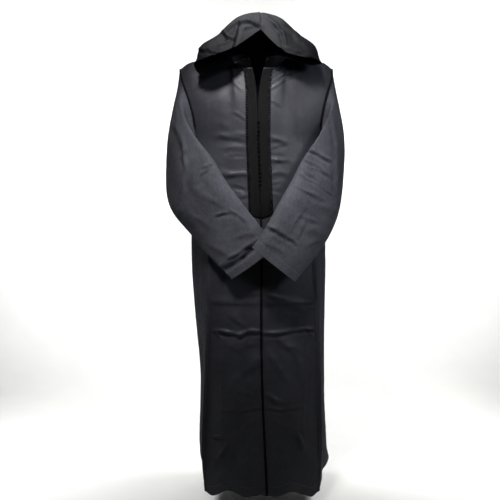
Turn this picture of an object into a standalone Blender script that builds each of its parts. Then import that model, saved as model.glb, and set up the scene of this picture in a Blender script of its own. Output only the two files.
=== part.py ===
"""A long hooded robe (djellaba) in charcoal cloth with black braid, in its worn shape with nobody in it.

Metres, +Z up, the front faces -Y and the wearer's left hand side is at +X as seen in the picture
from the front. The origin is the middle of the neck, level with the top of the shoulders.
Every cut piece is a closed wall of cloth. The pieces stand SEAM_GAP apart at their seams.
"""
import bmesh
import bpy
import numpy as np

OBJECT_NAME = "djellaba"

# Cloth and seams
WALL = 0.0020
SEAM_GAP = 0.0003
BODY_CLEARANCE = 0.0090

# Columns of each piece round the robe and rows up it
FRONT_COLS = 9
NECK_COLS = 4
GORE_COLS = 8
BACK_COLS = 9
HIGH_ROWS = 8
SLEEVE_STEPS = 2
SLEEVE_SMOOTHING = 4
HOOD_STEPS = 2
HOOD_SMOOTHING = 2

# Levels of the rows from the hem to the underarm, closer together where a crease runs across
ROW_LEVELS = (
    -1.395, -1.375, -1.340, -1.285, -1.220, -1.160, -1.130, -1.112, -1.094, -1.060, -0.990,
    -0.925, -0.895, -0.877, -0.859, -0.825, -0.765, -0.700, -0.620, -0.530, -0.440, -0.350,
    -0.272,
)

# Sections of the trunk and skirt: mid = centre front, seam = front edge of the side gore,
# side = widest point, back = centre back, l and r = the left and right of the picture
SECTION_COLUMNS = (
    "z", "mid_x", "mid_y", "seam_l", "seam_r", "seam_y", "side_l", "side_r", "side_y", "back_y",
)
SECTIONS = (
    (-1.395, 0.029, -0.192, -0.168, 0.196, -0.146, -0.196, 0.249, 0.110, 0.156),
    (-1.285, 0.024, -0.184, -0.178, 0.203, -0.136, -0.200, 0.238, 0.090, 0.152),
    (-1.160, 0.018, -0.176, -0.175, 0.203, -0.130, -0.195, 0.229, 0.075, 0.146),
    (-1.060, 0.014, -0.168, -0.170, 0.201, -0.126, -0.194, 0.226, 0.065, 0.140),
    (-0.900, 0.011, -0.158, -0.164, 0.195, -0.122, -0.205, 0.226, 0.060, 0.134),
    (-0.765, 0.011, -0.150, -0.159, 0.188, -0.119, -0.216, 0.227, 0.055, 0.130),
    (-0.660, 0.011, -0.145, -0.156, 0.182, -0.116, -0.220, 0.228, 0.050, 0.126),
    (-0.520, 0.009, -0.141, -0.162, 0.177, -0.110, -0.219, 0.222, 0.040, 0.120),
    (-0.400, 0.005, -0.138, -0.174, 0.180, -0.099, -0.214, 0.217, 0.020, 0.116),
    (-0.272, 0.000, -0.134, -0.198, 0.198, -0.068, -0.214, 0.213, 0.002, 0.114),
)
FRONT_ROUNDING = 2.2
HEM_RISE = 0.038
HEM_WAVE = 0.006
HEM_SOFT = 0.110
SLIT_TOP = -1.290
SLIT_OPEN = 0.010
BACK_SEAM_SHARE = (0.78, 0.92)
BACK_SEAM_SET_IN = (0.030, 0.052)

# Folds pressed across the front of the skirt: from and to = ends, wide = half width, high = height
# (a minus sign is a trough)
FOLD_COLUMNS = ("from_x", "from_z", "to_x", "to_z", "wide", "high")
FRONT_FOLDS = (
    (-0.132, -0.866, -0.070, -0.872, 0.016, 0.005),
    (-0.070, -0.872, 0.000, -0.862, 0.016, 0.005),
    (-0.132, -0.888, -0.068, -0.896, 0.016, -0.006),
    (-0.068, -0.896, 0.000, -0.886, 0.016, -0.006),
    (0.014, -0.864, 0.150, -0.858, 0.016, 0.005),
    (0.014, -0.886, 0.150, -0.880, 0.016, -0.006),
    (-0.112, -1.116, 0.002, -1.104, 0.018, 0.004),
    (-0.112, -1.134, 0.002, -1.124, 0.018, -0.005),
    (0.024, -1.100, 0.126, -1.102, 0.018, 0.004),
    (0.024, -1.120, 0.126, -1.122, 0.018, -0.005),
    (-0.096, -0.780, 0.005, -0.786, 0.022, -0.003),
    (0.030, -0.768, 0.084, -0.766, 0.022, 0.003),
)
GORE_FOLD = 0.016
BACK_FOLD = 0.007
BACK_FOLD_WIDTH = 0.150

# Neckline and shoulder seam: q = place from the centre (0) to the armhole (1),
# reach and drop = how far the cloth bows out and down before it gets there
TOP_COLUMNS = ("q", "x", "y", "z", "reach", "drop")
NECK_SHARE = NECK_COLS / FRONT_COLS
FRONT_NECK = (
    (0.000, 0.018, -0.106, -0.056, 0.014, 0.060),
    (0.110, 0.043, -0.101, -0.055, 0.020, 0.058),
    (0.220, 0.067, -0.083, -0.048, 0.040, 0.050),
    (0.330, 0.085, -0.048, -0.026, 0.066, 0.036),
    (NECK_SHARE, 0.089, 0.000, 0.000, 0.088, 0.020),
)
BACK_NECK = (
    (0.000, 0.000, 0.070, 0.014, 0.036, 0.040),
    (0.110, 0.028, 0.066, 0.013, 0.038, 0.038),
    (0.220, 0.054, 0.052, 0.010, 0.046, 0.032),
    (0.330, 0.077, 0.028, 0.005, 0.066, 0.026),
    (NECK_SHARE, 0.089, 0.000, 0.000, 0.084, 0.020),
)
SHOULDER = (
    (NECK_SHARE, 0.089, 0.000, 0.000, 0.088, 0.020),
    (0.620, 0.140, 0.000, -0.010, 0.090, 0.020),
    (0.820, 0.202, 0.000, -0.023, 0.084, 0.020),
    (0.930, 0.231, 0.000, -0.034, 0.078, 0.018),
    (1.000, 0.246, 0.000, -0.048, 0.072, 0.016),
)
SLEEVE_ROOM = 0.0404
ROOM_FROM = -0.170
ROOM_FULL = -0.290
ROOM_SECTIONS = (2.5, 5.0)
LAYER_SOFTNESS = 0.0115
HARD = 0.0005
UNDERARM_CLEARANCE = 1.17
SHOULDER_GROWTH = 0.090
SHOULDER_SHIFT = 0.005
RISE_SHARE = 0.42
ARMHOLE_BOW = 0.030

# Places round the sleeve, in half turns, of the shoulder tip, the front and middle and back of the
# underarm, and the shoulder tip again: at the first section and from TWIST_RINGS sections on
SLEEVE_TURN_TOP = (0.0, 0.796, 1.10, 1.56, 2.0)
SLEEVE_TURN_LOW = (0.0, 0.92, 1.18, 1.42, 2.0)
TWIST_RINGS = 3

# Straight edge of the cloth that the raised arm stretches from the shoulder to the forearm, one row
# for each of the first sleeve sections: its place, x counted outward, its place round the sleeve in
# half turns and the share of the way that the section is drawn out to it
WEB_COLUMNS = ("x", "y", "z", "turn", "share")
WEB_RIGHT = (
    (0.234, -0.077, -0.140, 0.50, 0.5),
    (0.196, -0.127, -0.215, 0.66, 1.0),
    (0.162, -0.155, -0.280, 0.78, 1.0),
    (0.128, -0.165, -0.343, 0.90, 0.8),
    (0.100, -0.172, -0.390, 1.00, 0.0),
)
WEB_LEFT = (
    (0.243, -0.077, -0.140, 0.50, 0.5),
    (0.209, -0.127, -0.215, 0.66, 1.0),
    (0.175, -0.155, -0.280, 0.78, 1.0),
    (0.137, -0.165, -0.343, 0.90, 0.8),
    (0.108, -0.172, -0.390, 1.00, 0.0),
)
WEB_REACH = (0.42, 0.24)

# Sleeve sections: o = outer edge, i = inner edge, deep = half depth between them.
# x counts outward from the middle, so a minus sign is past the middle
SLEEVE_COLUMNS = ("o_x", "o_y", "o_z", "i_x", "i_y", "i_z", "deep")
SLEEVE_RIGHT = (
    (0.248, 0.002, -0.112, 0.222, -0.039, -0.277, 0.0874),
    (0.258, 0.000, -0.190, 0.1984, -0.0878, -0.3013, 0.076),
    (0.267, -0.003, -0.275, 0.163, -0.130, -0.320, 0.064),
    (0.271, -0.010, -0.360, 0.138, -0.155, -0.352, 0.056),
    (0.270, -0.030, -0.440, 0.112, -0.178, -0.398, 0.053),
    (0.259, -0.062, -0.515, 0.085, -0.197, -0.437, 0.052),
    (0.235, -0.100, -0.570, 0.060, -0.210, -0.478, 0.046),
    (0.203, -0.140, -0.618, 0.036, -0.222, -0.519, 0.039),
    (0.165, -0.180, -0.664, 0.012, -0.234, -0.560, 0.032),
    (0.112, -0.225, -0.711, -0.018, -0.248, -0.606, 0.024),
)
SLEEVE_LEFT = (
    (0.257, 0.002, -0.112, 0.222, -0.039, -0.277, 0.0874),
    (0.269, 0.000, -0.190, 0.1984, -0.0878, -0.3013, 0.076),
    (0.282, -0.003, -0.280, 0.163, -0.126, -0.318, 0.064),
    (0.294, -0.010, -0.370, 0.137, -0.145, -0.350, 0.055),
    (0.300, -0.028, -0.452, 0.108, -0.158, -0.394, 0.050),
    (0.276, -0.055, -0.518, 0.072, -0.165, -0.440, 0.047),
    (0.222, -0.085, -0.568, 0.040, -0.168, -0.482, 0.040),
    (0.180, -0.115, -0.618, 0.008, -0.170, -0.524, 0.034),
    (0.135, -0.145, -0.664, -0.028, -0.173, -0.566, 0.028),
    (0.082, -0.175, -0.710, -0.065, -0.177, -0.606, 0.022),
)

# Hood: one row for each column of the neckline from the centre front round to the centre back.
# a, b and c = places on the way from the neckline to the rim, x counts outward
HOOD_COLUMNS = (
    "a_x", "a_y", "a_z", "b_x", "b_y", "b_z", "c_x", "c_y", "c_z", "rim_x", "rim_y", "rim_z",
)
HOOD_RIGHT = (
    (0.020, -0.108, -0.048, 0.022, -0.109, -0.040, 0.025, -0.109, -0.032, 0.028, -0.108, -0.025),
    (0.047, -0.113, -0.046, 0.052, -0.120, -0.038, 0.057, -0.126, -0.031, 0.062, -0.131, -0.025),
    (0.076, -0.098, -0.036, 0.086, -0.112, -0.030, 0.096, -0.124, -0.030, 0.106, -0.133, -0.034),
    (0.093, -0.055, -0.012, 0.120, -0.078, -0.018, 0.142, -0.099, -0.032, 0.160, -0.114, -0.050),
    (0.100, -0.002, 0.011, 0.142, -0.020, 0.001, 0.190, -0.052, -0.017, 0.197, -0.122, -0.043),
    (0.092, 0.034, 0.020, 0.144, 0.038, 0.034, 0.189, -0.060, 0.027, 0.155, -0.156, -0.032),
    (0.068, 0.072, 0.026, 0.110, 0.094, 0.054, 0.132, -0.012, 0.071, 0.087, -0.138, -0.013),
    (0.036, 0.094, 0.032, 0.060, 0.134, 0.078, 0.071, 0.046, 0.145, 0.044, -0.078, 0.029),
    (0.000, 0.100, 0.034, 0.004, 0.146, 0.084, 0.008, 0.088, 0.168, 0.010, -0.020, 0.077),
)
HOOD_LEFT = (
    (0.020, -0.108, -0.048, 0.022, -0.109, -0.040, 0.025, -0.109, -0.032, 0.028, -0.108, -0.025),
    (0.047, -0.113, -0.048, 0.055, -0.122, -0.044, 0.064, -0.130, -0.042, 0.074, -0.136, -0.048),
    (0.078, -0.098, -0.036, 0.094, -0.114, -0.036, 0.112, -0.128, -0.048, 0.136, -0.140, -0.077),
    (0.093, -0.055, -0.012, 0.120, -0.080, -0.023, 0.151, -0.107, -0.044, 0.181, -0.126, -0.077),
    (0.100, -0.002, 0.011, 0.146, -0.022, -0.002, 0.190, -0.052, -0.018, 0.197, -0.126, -0.045),
    (0.092, 0.034, 0.020, 0.144, 0.038, 0.034, 0.190, -0.060, 0.026, 0.155, -0.164, -0.032),
    (0.068, 0.072, 0.026, 0.108, 0.094, 0.054, 0.131, -0.012, 0.063, 0.093, -0.146, -0.008),
    (0.036, 0.094, 0.032, 0.060, 0.134, 0.078, 0.073, 0.046, 0.147, 0.055, -0.086, 0.020),
    (0.000, 0.100, 0.034, -0.004, 0.146, 0.084, -0.008, 0.088, 0.168, -0.010, -0.020, 0.077),
)

# Braid, cords and buttons
BAND_WIDTH_TOP = 0.0245
BAND_WIDTH = 0.0315
BAND_TAPER = 0.115
BAND_TOOTH = 0.0030
BAND_TOOTH_PITCH = 0.0080
BAND_END = -0.512
BAND_POINT = 0.011
BAND_THICK = 0.0016
BAND_COLS = 2
BAND_TOP_LIFT = 0.0012
TRIM_LIFT = 0.0005
BUTTON_COUNT = 16
BUTTON_TOP = -0.226
BUTTON_BOTTOM = -0.418
BUTTON_RADIUS = 0.0037
CORD_HALF_WIDTH = 0.0034
CORD_HEIGHT = 0.0036
CORD_RADIUS = 0.0027
CORD_LIFT = 0.0007
ARMHOLE_CORD_LIFT = 0.0020
HALF_ROUND_SECTION = ((-1.0, 0.0), (-0.75, 0.75), (0.0, 1.0), (0.75, 0.75), (1.0, 0.0))
ROUND_SECTION = (
    (1.0, 0.0), (0.7, 0.7), (0.0, 1.0), (-0.7, 0.7), (-1.0, 0.0), (-0.7, -0.7), (0.0, -1.0), (0.7, -0.7),
)


def table(columns, rows):
    """Rows of numbers as one array a named column."""
    return dict(zip(columns, np.array(rows, float).T))


def spline(knots, values, at):
    """Smooth curve through the knots: cubic pieces with slopes from the neighbouring knots."""
    knots = np.asarray(knots, float)
    values = np.asarray(values, float)
    at = np.asarray(at, float)
    slopes = np.gradient(values, knots, axis=0)
    cell = np.clip(np.searchsorted(knots, at) - 1, 0, len(knots) - 2)
    step = knots[cell + 1] - knots[cell]
    s = (at - knots[cell]) / step
    extra = (1,) * (values.ndim - 1)
    s = s.reshape(s.shape + extra)
    step = step.reshape(step.shape + extra)
    start = values[cell] * (1 + 2 * s) * (1 - s) ** 2 + slopes[cell] * step * s * (1 - s) ** 2
    end = values[cell + 1] * s * s * (3 - 2 * s) - slopes[cell + 1] * step * s * s * (1 - s)
    return start + end


def unit(vectors):
    """Vectors scaled to length one."""
    return vectors / np.maximum(np.linalg.norm(vectors, axis=-1, keepdims=True), 1e-12)


def stack(x, y, z):
    """Points from three arrays that broadcast together."""
    return np.stack(np.broadcast_arrays(x, y, z), axis=-1)


def half_ring(z, side):
    """One side of the trunk from centre front to centre back, a row for each level z."""
    section = table(SECTION_COLUMNS, SECTIONS)
    at = {}
    for name in SECTION_COLUMNS:
        at[name] = spline(section["z"], section[name], z)[:, None]
    letter = "r" if side > 0 else "l"
    mid_x, mid_y, seam_y = at["mid_x"], at["mid_y"], at["seam_y"]
    seam_x, side_x = at["seam_" + letter], at["side_" + letter]
    side_y, back_y = at["side_y"], at["back_y"]
    low = np.clip((z[:, None] - z.min()) / (z.max() - z.min()), 0, 1)
    back_share = BACK_SEAM_SHARE[0] + (BACK_SEAM_SHARE[1] - BACK_SEAM_SHARE[0]) * low ** 2
    set_in = BACK_SEAM_SET_IN[0] + (BACK_SEAM_SET_IN[1] - BACK_SEAM_SET_IN[0]) * low ** 2
    back_x = side_x * back_share
    back_seam_y = back_y - set_in
    q = np.linspace(0, 1, FRONT_COLS + 1)[None, :]
    front_y = mid_y + (seam_y - mid_y) * q ** FRONT_ROUNDING
    front = stack(mid_x + (seam_x - mid_x) * q, front_y, z[:, None])
    q = np.linspace(0, 1, GORE_COLS // 2 + 1)[None, 1:]
    turn = q * np.pi / 2
    tuck = GORE_FOLD * np.sin(np.pi * q) ** 2 * (1 - low) * side
    forward = stack(
        seam_x + (side_x - seam_x) * np.sin(turn) - tuck,
        seam_y + (side_y - seam_y) * q,
        z[:, None],
    )
    behind = stack(
        back_x + (side_x - back_x) * np.cos(turn),
        side_y + (back_seam_y - side_y) * np.sin(turn),
        z[:, None],
    )
    q = np.linspace(0, 1, BACK_COLS + 1)[None, 1:]
    back = stack(back_x * (1 - q), back_y - set_in * (1 - q) ** 2, z[:, None])
    return shape_hem(press_folds(np.concatenate([front, forward, behind, back], axis=1)))


def press_folds(grid):
    """The front moved forward by its folds and the back by soft hanging waves.

    A fold adds high * exp(-(d / wide)^2), d = distance in the x and z plane from its line.
    """
    x, y, z = grid[..., 0], grid[..., 1], grid[..., 2]
    forward = np.zeros_like(x)
    for from_x, from_z, to_x, to_z, wide, high in FRONT_FOLDS:
        run_x, run_z = to_x - from_x, to_z - from_z
        along = ((x - from_x) * run_x + (z - from_z) * run_z) / (run_x ** 2 + run_z ** 2)
        along = np.clip(along, 0, 1)
        gap = np.hypot(x - from_x - along * run_x, z - from_z - along * run_z)
        forward += high * np.exp(-(gap / wide) ** 2)
    low = np.clip((ROW_LEVELS[-1] - z) / (ROW_LEVELS[-1] - ROW_LEVELS[0]), 0, 1)
    wave = BACK_FOLD * low * np.cos(2 * np.pi * x / BACK_FOLD_WIDTH + 0.6)
    edge = np.clip((y - 0.080) / 0.050, 0, 1)
    return stack(x, y - forward * (y < -0.09) + wave * edge, z)


def shape_hem(grid):
    """The lowest rows lifted towards the back and bent in soft waves along the hem."""
    x, y, z = grid[..., 0], grid[..., 1], grid[..., 2]
    near = np.clip(1 - (z - ROW_LEVELS[0]) / HEM_SOFT, 0, 1) ** 2
    lift = HEM_RISE * np.clip((y + 0.150) / 0.300, 0, 1)
    wave = HEM_WAVE * np.sin(x * 46.0 + 0.9) * np.cos(x * 17.0 - 0.5)
    return stack(x, y - near * wave * np.sign(y), z + near * (lift + wave * 0.8))


def top_edge(neck, side, cols):
    """Neckline and shoulder seam as end points, reach and drop for each column."""
    q = np.linspace(0, 1, cols + 1)
    rows = []
    for part, use in ((neck, q <= NECK_SHARE + 1e-9), (SHOULDER, q > NECK_SHARE + 1e-9)):
        knots = np.array(part, float)
        rows.append(spline(knots[:, 0], knots[:, 1:], q[use]))
    edge = np.concatenate(rows)
    edge[:, 0] = edge[:, 0] * side - SHOULDER_SHIFT * np.clip((q - NECK_SHARE) / (1 - NECK_SHARE), 0, 1)
    return edge[:, :3], edge[:, 3], edge[:, 4]


def rise(bottom, neck, side, forward):
    """Rows of the chest or back above the underarm, as curves from the underarm row to the top.

    Each column is a cubic curve b0 (1-t)^3 + 3 b1 t (1-t)^2 + 3 b2 t^2 (1-t) + b3 t^3.
    """
    top, reach, drop = top_edge(neck, side, bottom.shape[0] - 1)
    q = np.linspace(0, 1, bottom.shape[0])
    t = np.linspace(0, 1, HIGH_ROWS + 1)[1:, None, None]
    height = top[:, 2] - bottom[:, 2]
    first = bottom + stack(0 * q, forward * ARMHOLE_BOW * q ** 3, height * RISE_SHARE)
    straight = bottom[:, 0] + (top[:, 0] - bottom[:, 0]) * q / NECK_SHARE
    lean = np.where(q < NECK_SHARE, straight, top[:, 0])
    second = stack(lean, top[:, 1] + forward * reach, top[:, 2] - drop)
    return (
        bottom * (1 - t) ** 3 + 3 * first * t * (1 - t) ** 2
        + 3 * second * t ** 2 * (1 - t) + top * t ** 3
    )


def grid_normals(grid, wrap_rows=False, wrap_cols=False):
    """Unit normals of a grid from its neighbours' differences, either way round closed or not."""
    def slope(array, axis, wrap):
        if wrap:
            return np.roll(array, -1, axis) - np.roll(array, 1, axis)
        return np.gradient(array, axis=axis)
    return unit(np.cross(slope(grid, 0, wrap_rows), slope(grid, 1, wrap_cols)))


def facing(normals, grid, centre):
    """Normals turned so that on the whole they point away from the centre."""
    away = np.sum(normals * (grid - np.asarray(centre)))
    return normals if away > 0 else -normals


def shell_body(outer, inner, wrap):
    """Vertices and triangles of a closed wall between two grids. wrap closes the columns."""
    rows, cols = outer.shape[:2]
    verts = np.concatenate([outer.reshape(-1, 3), inner.reshape(-1, 3)])
    index = np.arange(rows * cols).reshape(rows, cols)
    if wrap:
        index = np.concatenate([index, index[:, :1]], axis=1)
    a, b = index[:-1, :-1].ravel(), index[1:, :-1].ravel()
    c, d = index[:-1, 1:].ravel(), index[1:, 1:].ravel()
    faces = [np.stack([a, b, c], 1), np.stack([b, d, c], 1)]
    shift = rows * cols
    faces += [np.stack([a, c, b], 1) + shift, np.stack([b, c, d], 1) + shift]
    edges = [index[0], index[-1, ::-1]]
    if not wrap:
        edges += [index[::-1, 0], index[:, -1]]
    for edge in edges:
        p, q = edge[:-1], edge[1:]
        faces += [np.stack([p, q, p + shift], 1), np.stack([q, q + shift, p + shift], 1)]
    return verts, np.concatenate(faces)


def slot_material(name, colour, roughness):
    """One plain surface, made once and found again by its name."""
    material = bpy.data.materials.get(name)
    if material is None:
        material = bpy.data.materials.new(name)
        material.use_nodes = True
        shader = material.node_tree.nodes["Principled BSDF"]
        shader.inputs["Base Color"].default_value = (*colour, 1.0)
        shader.inputs["Roughness"].default_value = roughness
    return material


def add_body(name, verts, faces, collection, colour, roughness=0.9):
    """A named closed body with its own material, its faces turned outward."""
    mesh = bpy.data.meshes.new(name)
    mesh.from_pydata([tuple(v) for v in verts], [], [tuple(f) for f in faces])
    work = bmesh.new()
    work.from_mesh(mesh)
    bmesh.ops.recalc_face_normals(work, faces=work.faces)
    work.to_mesh(mesh)
    work.free()
    mesh.materials.append(slot_material(name, colour, roughness))
    body = bpy.data.objects.new(name, mesh)
    collection.objects.link(body)
    return body


def pull_in(grid, amount, edges):
    """The grid with the named edges moved back along the cloth by the amount."""
    grid = grid.copy()
    if "first_col" in edges:
        grid[:, 0] += unit(grid[:, 1] - grid[:, 0]) * amount
    if "last_col" in edges:
        grid[:, -1] += unit(grid[:, -2] - grid[:, -1]) * amount
    if "first_row" in edges:
        grid[0] += unit(grid[1] - grid[0]) * amount
    if "last_row" in edges:
        grid[-1] += unit(grid[-2] - grid[-1]) * amount
    return grid


def cloth_piece(grid, normals, edges, wrap=False):
    """The closed wall of one cut piece, pulled back from its seams."""
    outer = pull_in(grid, SEAM_GAP / 2, edges)
    inner = pull_in(grid - normals * WALL, SEAM_GAP / 2, edges)
    return shell_body(outer, inner, wrap)


def open_slit(grid):
    """The front edge of a side gore drawn back from the front panel below the top of the slit."""
    grid = grid.copy()
    amount = SLIT_OPEN * np.clip((SLIT_TOP - grid[:, 0, 2]) / (SLIT_TOP - ROW_LEVELS[0]), 0, 1)
    grid[:, 0] += unit(grid[:, 1] - grid[:, 0]) * amount[:, None]
    return grid


def trunk():
    """All grids and normals of the body of the robe, with matching normals along each seam."""
    z = np.array(ROW_LEVELS, float)
    right, left = half_ring(z, 1), half_ring(z, -1)
    ring = np.concatenate([right, left[:, -2:0:-1]], axis=1)
    ring_n = facing(grid_normals(ring, wrap_cols=True), ring, (0, 0, -0.8))
    half = right.shape[1]
    ring_right = ring_n[:, :half]
    ring_left = np.concatenate([ring_n[:, :1], ring_n[:, :half - 2:-1]], axis=1)
    parts = {}
    for side, low, low_n in ((1, right, ring_right), (-1, left, ring_left)):
        seam, back_seam = FRONT_COLS, FRONT_COLS + GORE_COLS
        name = "right" if side > 0 else "left"
        front_high = rise(low[-1, :seam + 1], FRONT_NECK, side, -1.0)
        back_high = rise(low[-1, back_seam:][::-1], BACK_NECK, side, 1.0)[:, ::-1]
        front = np.concatenate([low[:, :seam + 1], front_high])
        back = np.concatenate([low[:, back_seam:], back_high])
        front_n = facing(grid_normals(front), front, (0, 0, -0.8))
        back_n = facing(grid_normals(back), back, (0, 0, -0.8))
        levels = len(z)
        front_n[:levels - 1] = low_n[:-1, :seam + 1]
        back_n[:levels - 1] = low_n[:-1, back_seam:]
        gore_n = low_n[:, seam:back_seam + 1].copy()
        front_n[levels - 1] = unit(front_n[levels - 1] + low_n[-1, :seam + 1])
        back_n[levels - 1] = unit(back_n[levels - 1] + low_n[-1, back_seam:])
        gore_n[-1, 0], gore_n[-1, -1] = front_n[levels - 1, -1], back_n[levels - 1, 0]
        shoulder = np.arange(NECK_COLS, FRONT_COLS + 1)
        shared = unit(front_n[-1, shoulder] + back_n[-1, BACK_COLS - shoulder])
        front_n[-1, shoulder] = shared
        back_n[-1, BACK_COLS - shoulder] = shared
        parts["front_" + name] = (front, front_n)
        parts["gore_" + name] = (low[:, seam:back_seam + 1], gore_n)
        parts["back_" + name] = (back, back_n)
    for row in range(len(z) - 1, len(z)):
        shared = unit(parts["front_right"][1][row, 0] + parts["front_left"][1][row, 0])
        parts["front_right"][1][row, 0] = shared
        parts["front_left"][1][row, 0] = shared
    return parts


def armhole(parts, name):
    """Ring of the armhole from the shoulder tip down the front and up the back, with normals."""
    levels = len(ROW_LEVELS)
    ring = []
    for k in (0, 1):
        front = parts["front_" + name][k][levels - 1:, -1][::-1]
        under = parts["gore_" + name][k][-1, 1:-1]
        back = parts["back_" + name][k][levels - 1:-1, 0]
        ring.append(np.concatenate([front, under, back]))
    return ring


def body_radius(points):
    """Distance of the robe's outside from its middle line, towards each point, and the point's own."""
    z = np.array(ROW_LEVELS, float)
    ring = np.concatenate([half_ring(z, 1), half_ring(z, -1)[:, -2:0:-1]], axis=1)
    angle = np.arctan2(ring[..., 1], ring[..., 0])
    far = np.hypot(ring[..., 0], ring[..., 1])
    turn = np.linspace(-np.pi, np.pi, 181)
    rows = []
    for row in range(len(z)):
        order = np.argsort(angle[row])
        rows.append(np.interp(turn, angle[row][order], far[row][order], period=2 * np.pi))
    rows = np.array(rows)
    own = np.hypot(points[..., 0], points[..., 1])
    at_turn = (np.arctan2(points[..., 1], points[..., 0]) + np.pi) / (2 * np.pi) * 180
    at_level = np.interp(points[..., 2], z, np.arange(len(z)))
    i = np.clip(at_level.astype(int), 0, len(z) - 2)
    j = np.clip(at_turn.astype(int), 0, 179)
    u, v = at_level - i, at_turn - j
    wall = (
        rows[i, j] * (1 - u) * (1 - v) + rows[i + 1, j] * u * (1 - v)
        + rows[i, j + 1] * (1 - u) * v + rows[i + 1, j + 1] * u * v
    )
    return wall, own


def rest_on_body(points, room, soft):
    """Points inside the robe or too near it moved straight out to stand BODY_CLEARANCE off it.

    With d = distance outside the clearance, the new distance is soft * log(1 + exp(d / soft)), so
    that near layers keep their order. room is added to the clearance below the underarm. Above
    the underarm the underarm ring is widened by SHOULDER_GROWTH towards the shoulder.
    """
    wall, own = body_radius(points)
    up = np.clip((points[..., 2] - ROW_LEVELS[-1]) / (SHOULDER[-1][3] - ROW_LEVELS[-1]), 0, 1)
    wall = wall * (1 + SHOULDER_GROWTH * np.sin(np.clip(1.6 * up, 0, 1) * np.pi / 2))
    ramp = np.interp(np.arange(len(points)), (0, 2 * SLEEVE_STEPS), (UNDERARM_CLEARANCE, 1))
    low = np.clip((ROOM_FROM - points[..., 2]) / (ROOM_FROM - ROOM_FULL), 0, 1)
    stand = wall + BODY_CLEARANCE * ramp[:, None] + room * low
    need = stand + soft * np.logaddexp(0, (own - stand) / soft)
    scale = (need / np.maximum(own, 1e-6))[..., None]
    return points * np.concatenate([scale, scale, np.ones_like(scale)], axis=-1)


def soften(grid, times, room):
    """Evens out a sleeve's rings, each point moved halfway to the mean of its neighbours."""
    for _ in range(times):
        beside = np.roll(grid, 1, axis=1) + np.roll(grid, -1, axis=1)
        mean = (beside[1:-1] + grid[:-2] + grid[2:]) / 4
        grid[1:-1] += (mean - grid[1:-1]) / 2
        grid[1:] = rest_on_body(grid[1:], room, HARD)


def stretch_web(loops, turns, rows, side):
    """Sleeve rings drawn out to the web's edge, less the further round the sleeve from it.

    The share falls off in a straight line over WEB_REACH half turns towards the shoulder tip and
    towards the underarm, so that the cloth is flat on both sides of the edge.
    """
    levels = np.arange(len(loops)) / SLEEVE_STEPS
    table_rows = np.array(rows, float)
    at = {
        column: np.interp(levels, np.arange(len(rows)), table_rows[:, place])
        for place, column in enumerate(WEB_COLUMNS)
    }
    edge = stack(side * at["x"], at["y"], at["z"])
    beside = turns - at["turn"][:, None]
    share = 1 - np.abs(beside) / np.where(beside < 0, *WEB_REACH)
    share = np.clip(share, 0, 1) * at["share"][:, None]
    nearest = np.argmin(np.abs(beside), axis=1)
    pull = edge - loops[np.arange(len(loops)), nearest]
    return loops + pull[:, None] * share[..., None]


def sleeve(parts, name, rows, side):
    """Grid and normals of a sleeve from the armhole ring to the cuff."""
    ring, ring_n = armhole(parts, name)
    count = len(ring)
    section = np.array(rows, float)
    place = np.arange(len(section), dtype=float)
    fine = np.linspace(0, len(section) - 1, SLEEVE_STEPS * (len(section) - 1) + 1)
    at = dict(zip(SLEEVE_COLUMNS, spline(place, section, fine).T))
    outer = stack(side * at["o_x"], at["o_y"], at["o_z"])
    inner = stack(side * at["i_x"], at["i_y"], at["i_z"])
    centre, major = (outer + inner) / 2, (outer - inner) / 2
    ahead = np.array([0.0, -1.0, 0.0])
    along = unit(major) * np.sum(unit(major) * ahead, axis=-1, keepdims=True)
    minor = unit(ahead - along) * at["deep"][:, None]
    corners = np.array([0, HIGH_ROWS, HIGH_ROWS + GORE_COLS / 2, HIGH_ROWS + GORE_COLS, count])
    twist = np.clip(np.arange(len(fine)) / (TWIST_RINGS * SLEEVE_STEPS), 0, 1)[:, None]
    corner_turns = np.array(SLEEVE_TURN_TOP) * (1 - twist) + np.array(SLEEVE_TURN_LOW) * twist
    turn = np.array([np.interp(np.arange(count), corners, row) for row in corner_turns]) * np.pi
    fade = np.interp(np.arange(len(fine)), np.array(ROOM_SECTIONS) * SLEEVE_STEPS, (1, 0))
    room = SLEEVE_ROOM * (0.5 + 0.5 * np.cos(turn)) * fade[:, None]
    loops = (
        centre[:, None] + major[:, None] * np.cos(turn)[..., None]
        + minor[:, None] * np.sin(turn)[..., None]
    )
    loops = stretch_web(loops, turn / np.pi, WEB_LEFT if side < 0 else WEB_RIGHT, side)
    grid = np.concatenate([ring[None], rest_on_body(loops, room, LAYER_SOFTNESS)])
    soften(grid, SLEEVE_SMOOTHING, room)
    normals = grid_normals(grid, wrap_cols=True)
    outward = grid - grid.mean(axis=1, keepdims=True)
    if np.sum(normals * outward) < 0:
        normals = -normals
    shared = unit(ring_n + normals[0])
    normals[0] = unit(2 * shared + np.roll(shared, 1, axis=0) + np.roll(shared, -1, axis=0))
    share_armhole(parts, name, normals[0])
    return grid, normals


def share_armhole(parts, name, shared):
    """The armhole edges of the body given the sleeve's normals, so both walls meet along one plane."""
    levels = len(ROW_LEVELS)
    front_n, gore_n, back_n = (parts[piece + name][1] for piece in ("front_", "gore_", "back_"))
    front_n[levels - 1:, -1] = shared[HIGH_ROWS::-1]
    gore_n[-1] = shared[HIGH_ROWS:HIGH_ROWS + GORE_COLS + 1]
    back_n[levels - 1:-1, 0] = shared[HIGH_ROWS + GORE_COLS:]
    back_n[-1, 0] = shared[0]


def neckline(parts, name):
    """Neckline of one side from the centre front round to the centre back."""
    front = parts["front_" + name][0][-1, :NECK_COLS + 1]
    back = parts["back_" + name][0][-1, ::-1][:NECK_COLS][::-1]
    return np.concatenate([front, back])


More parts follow.
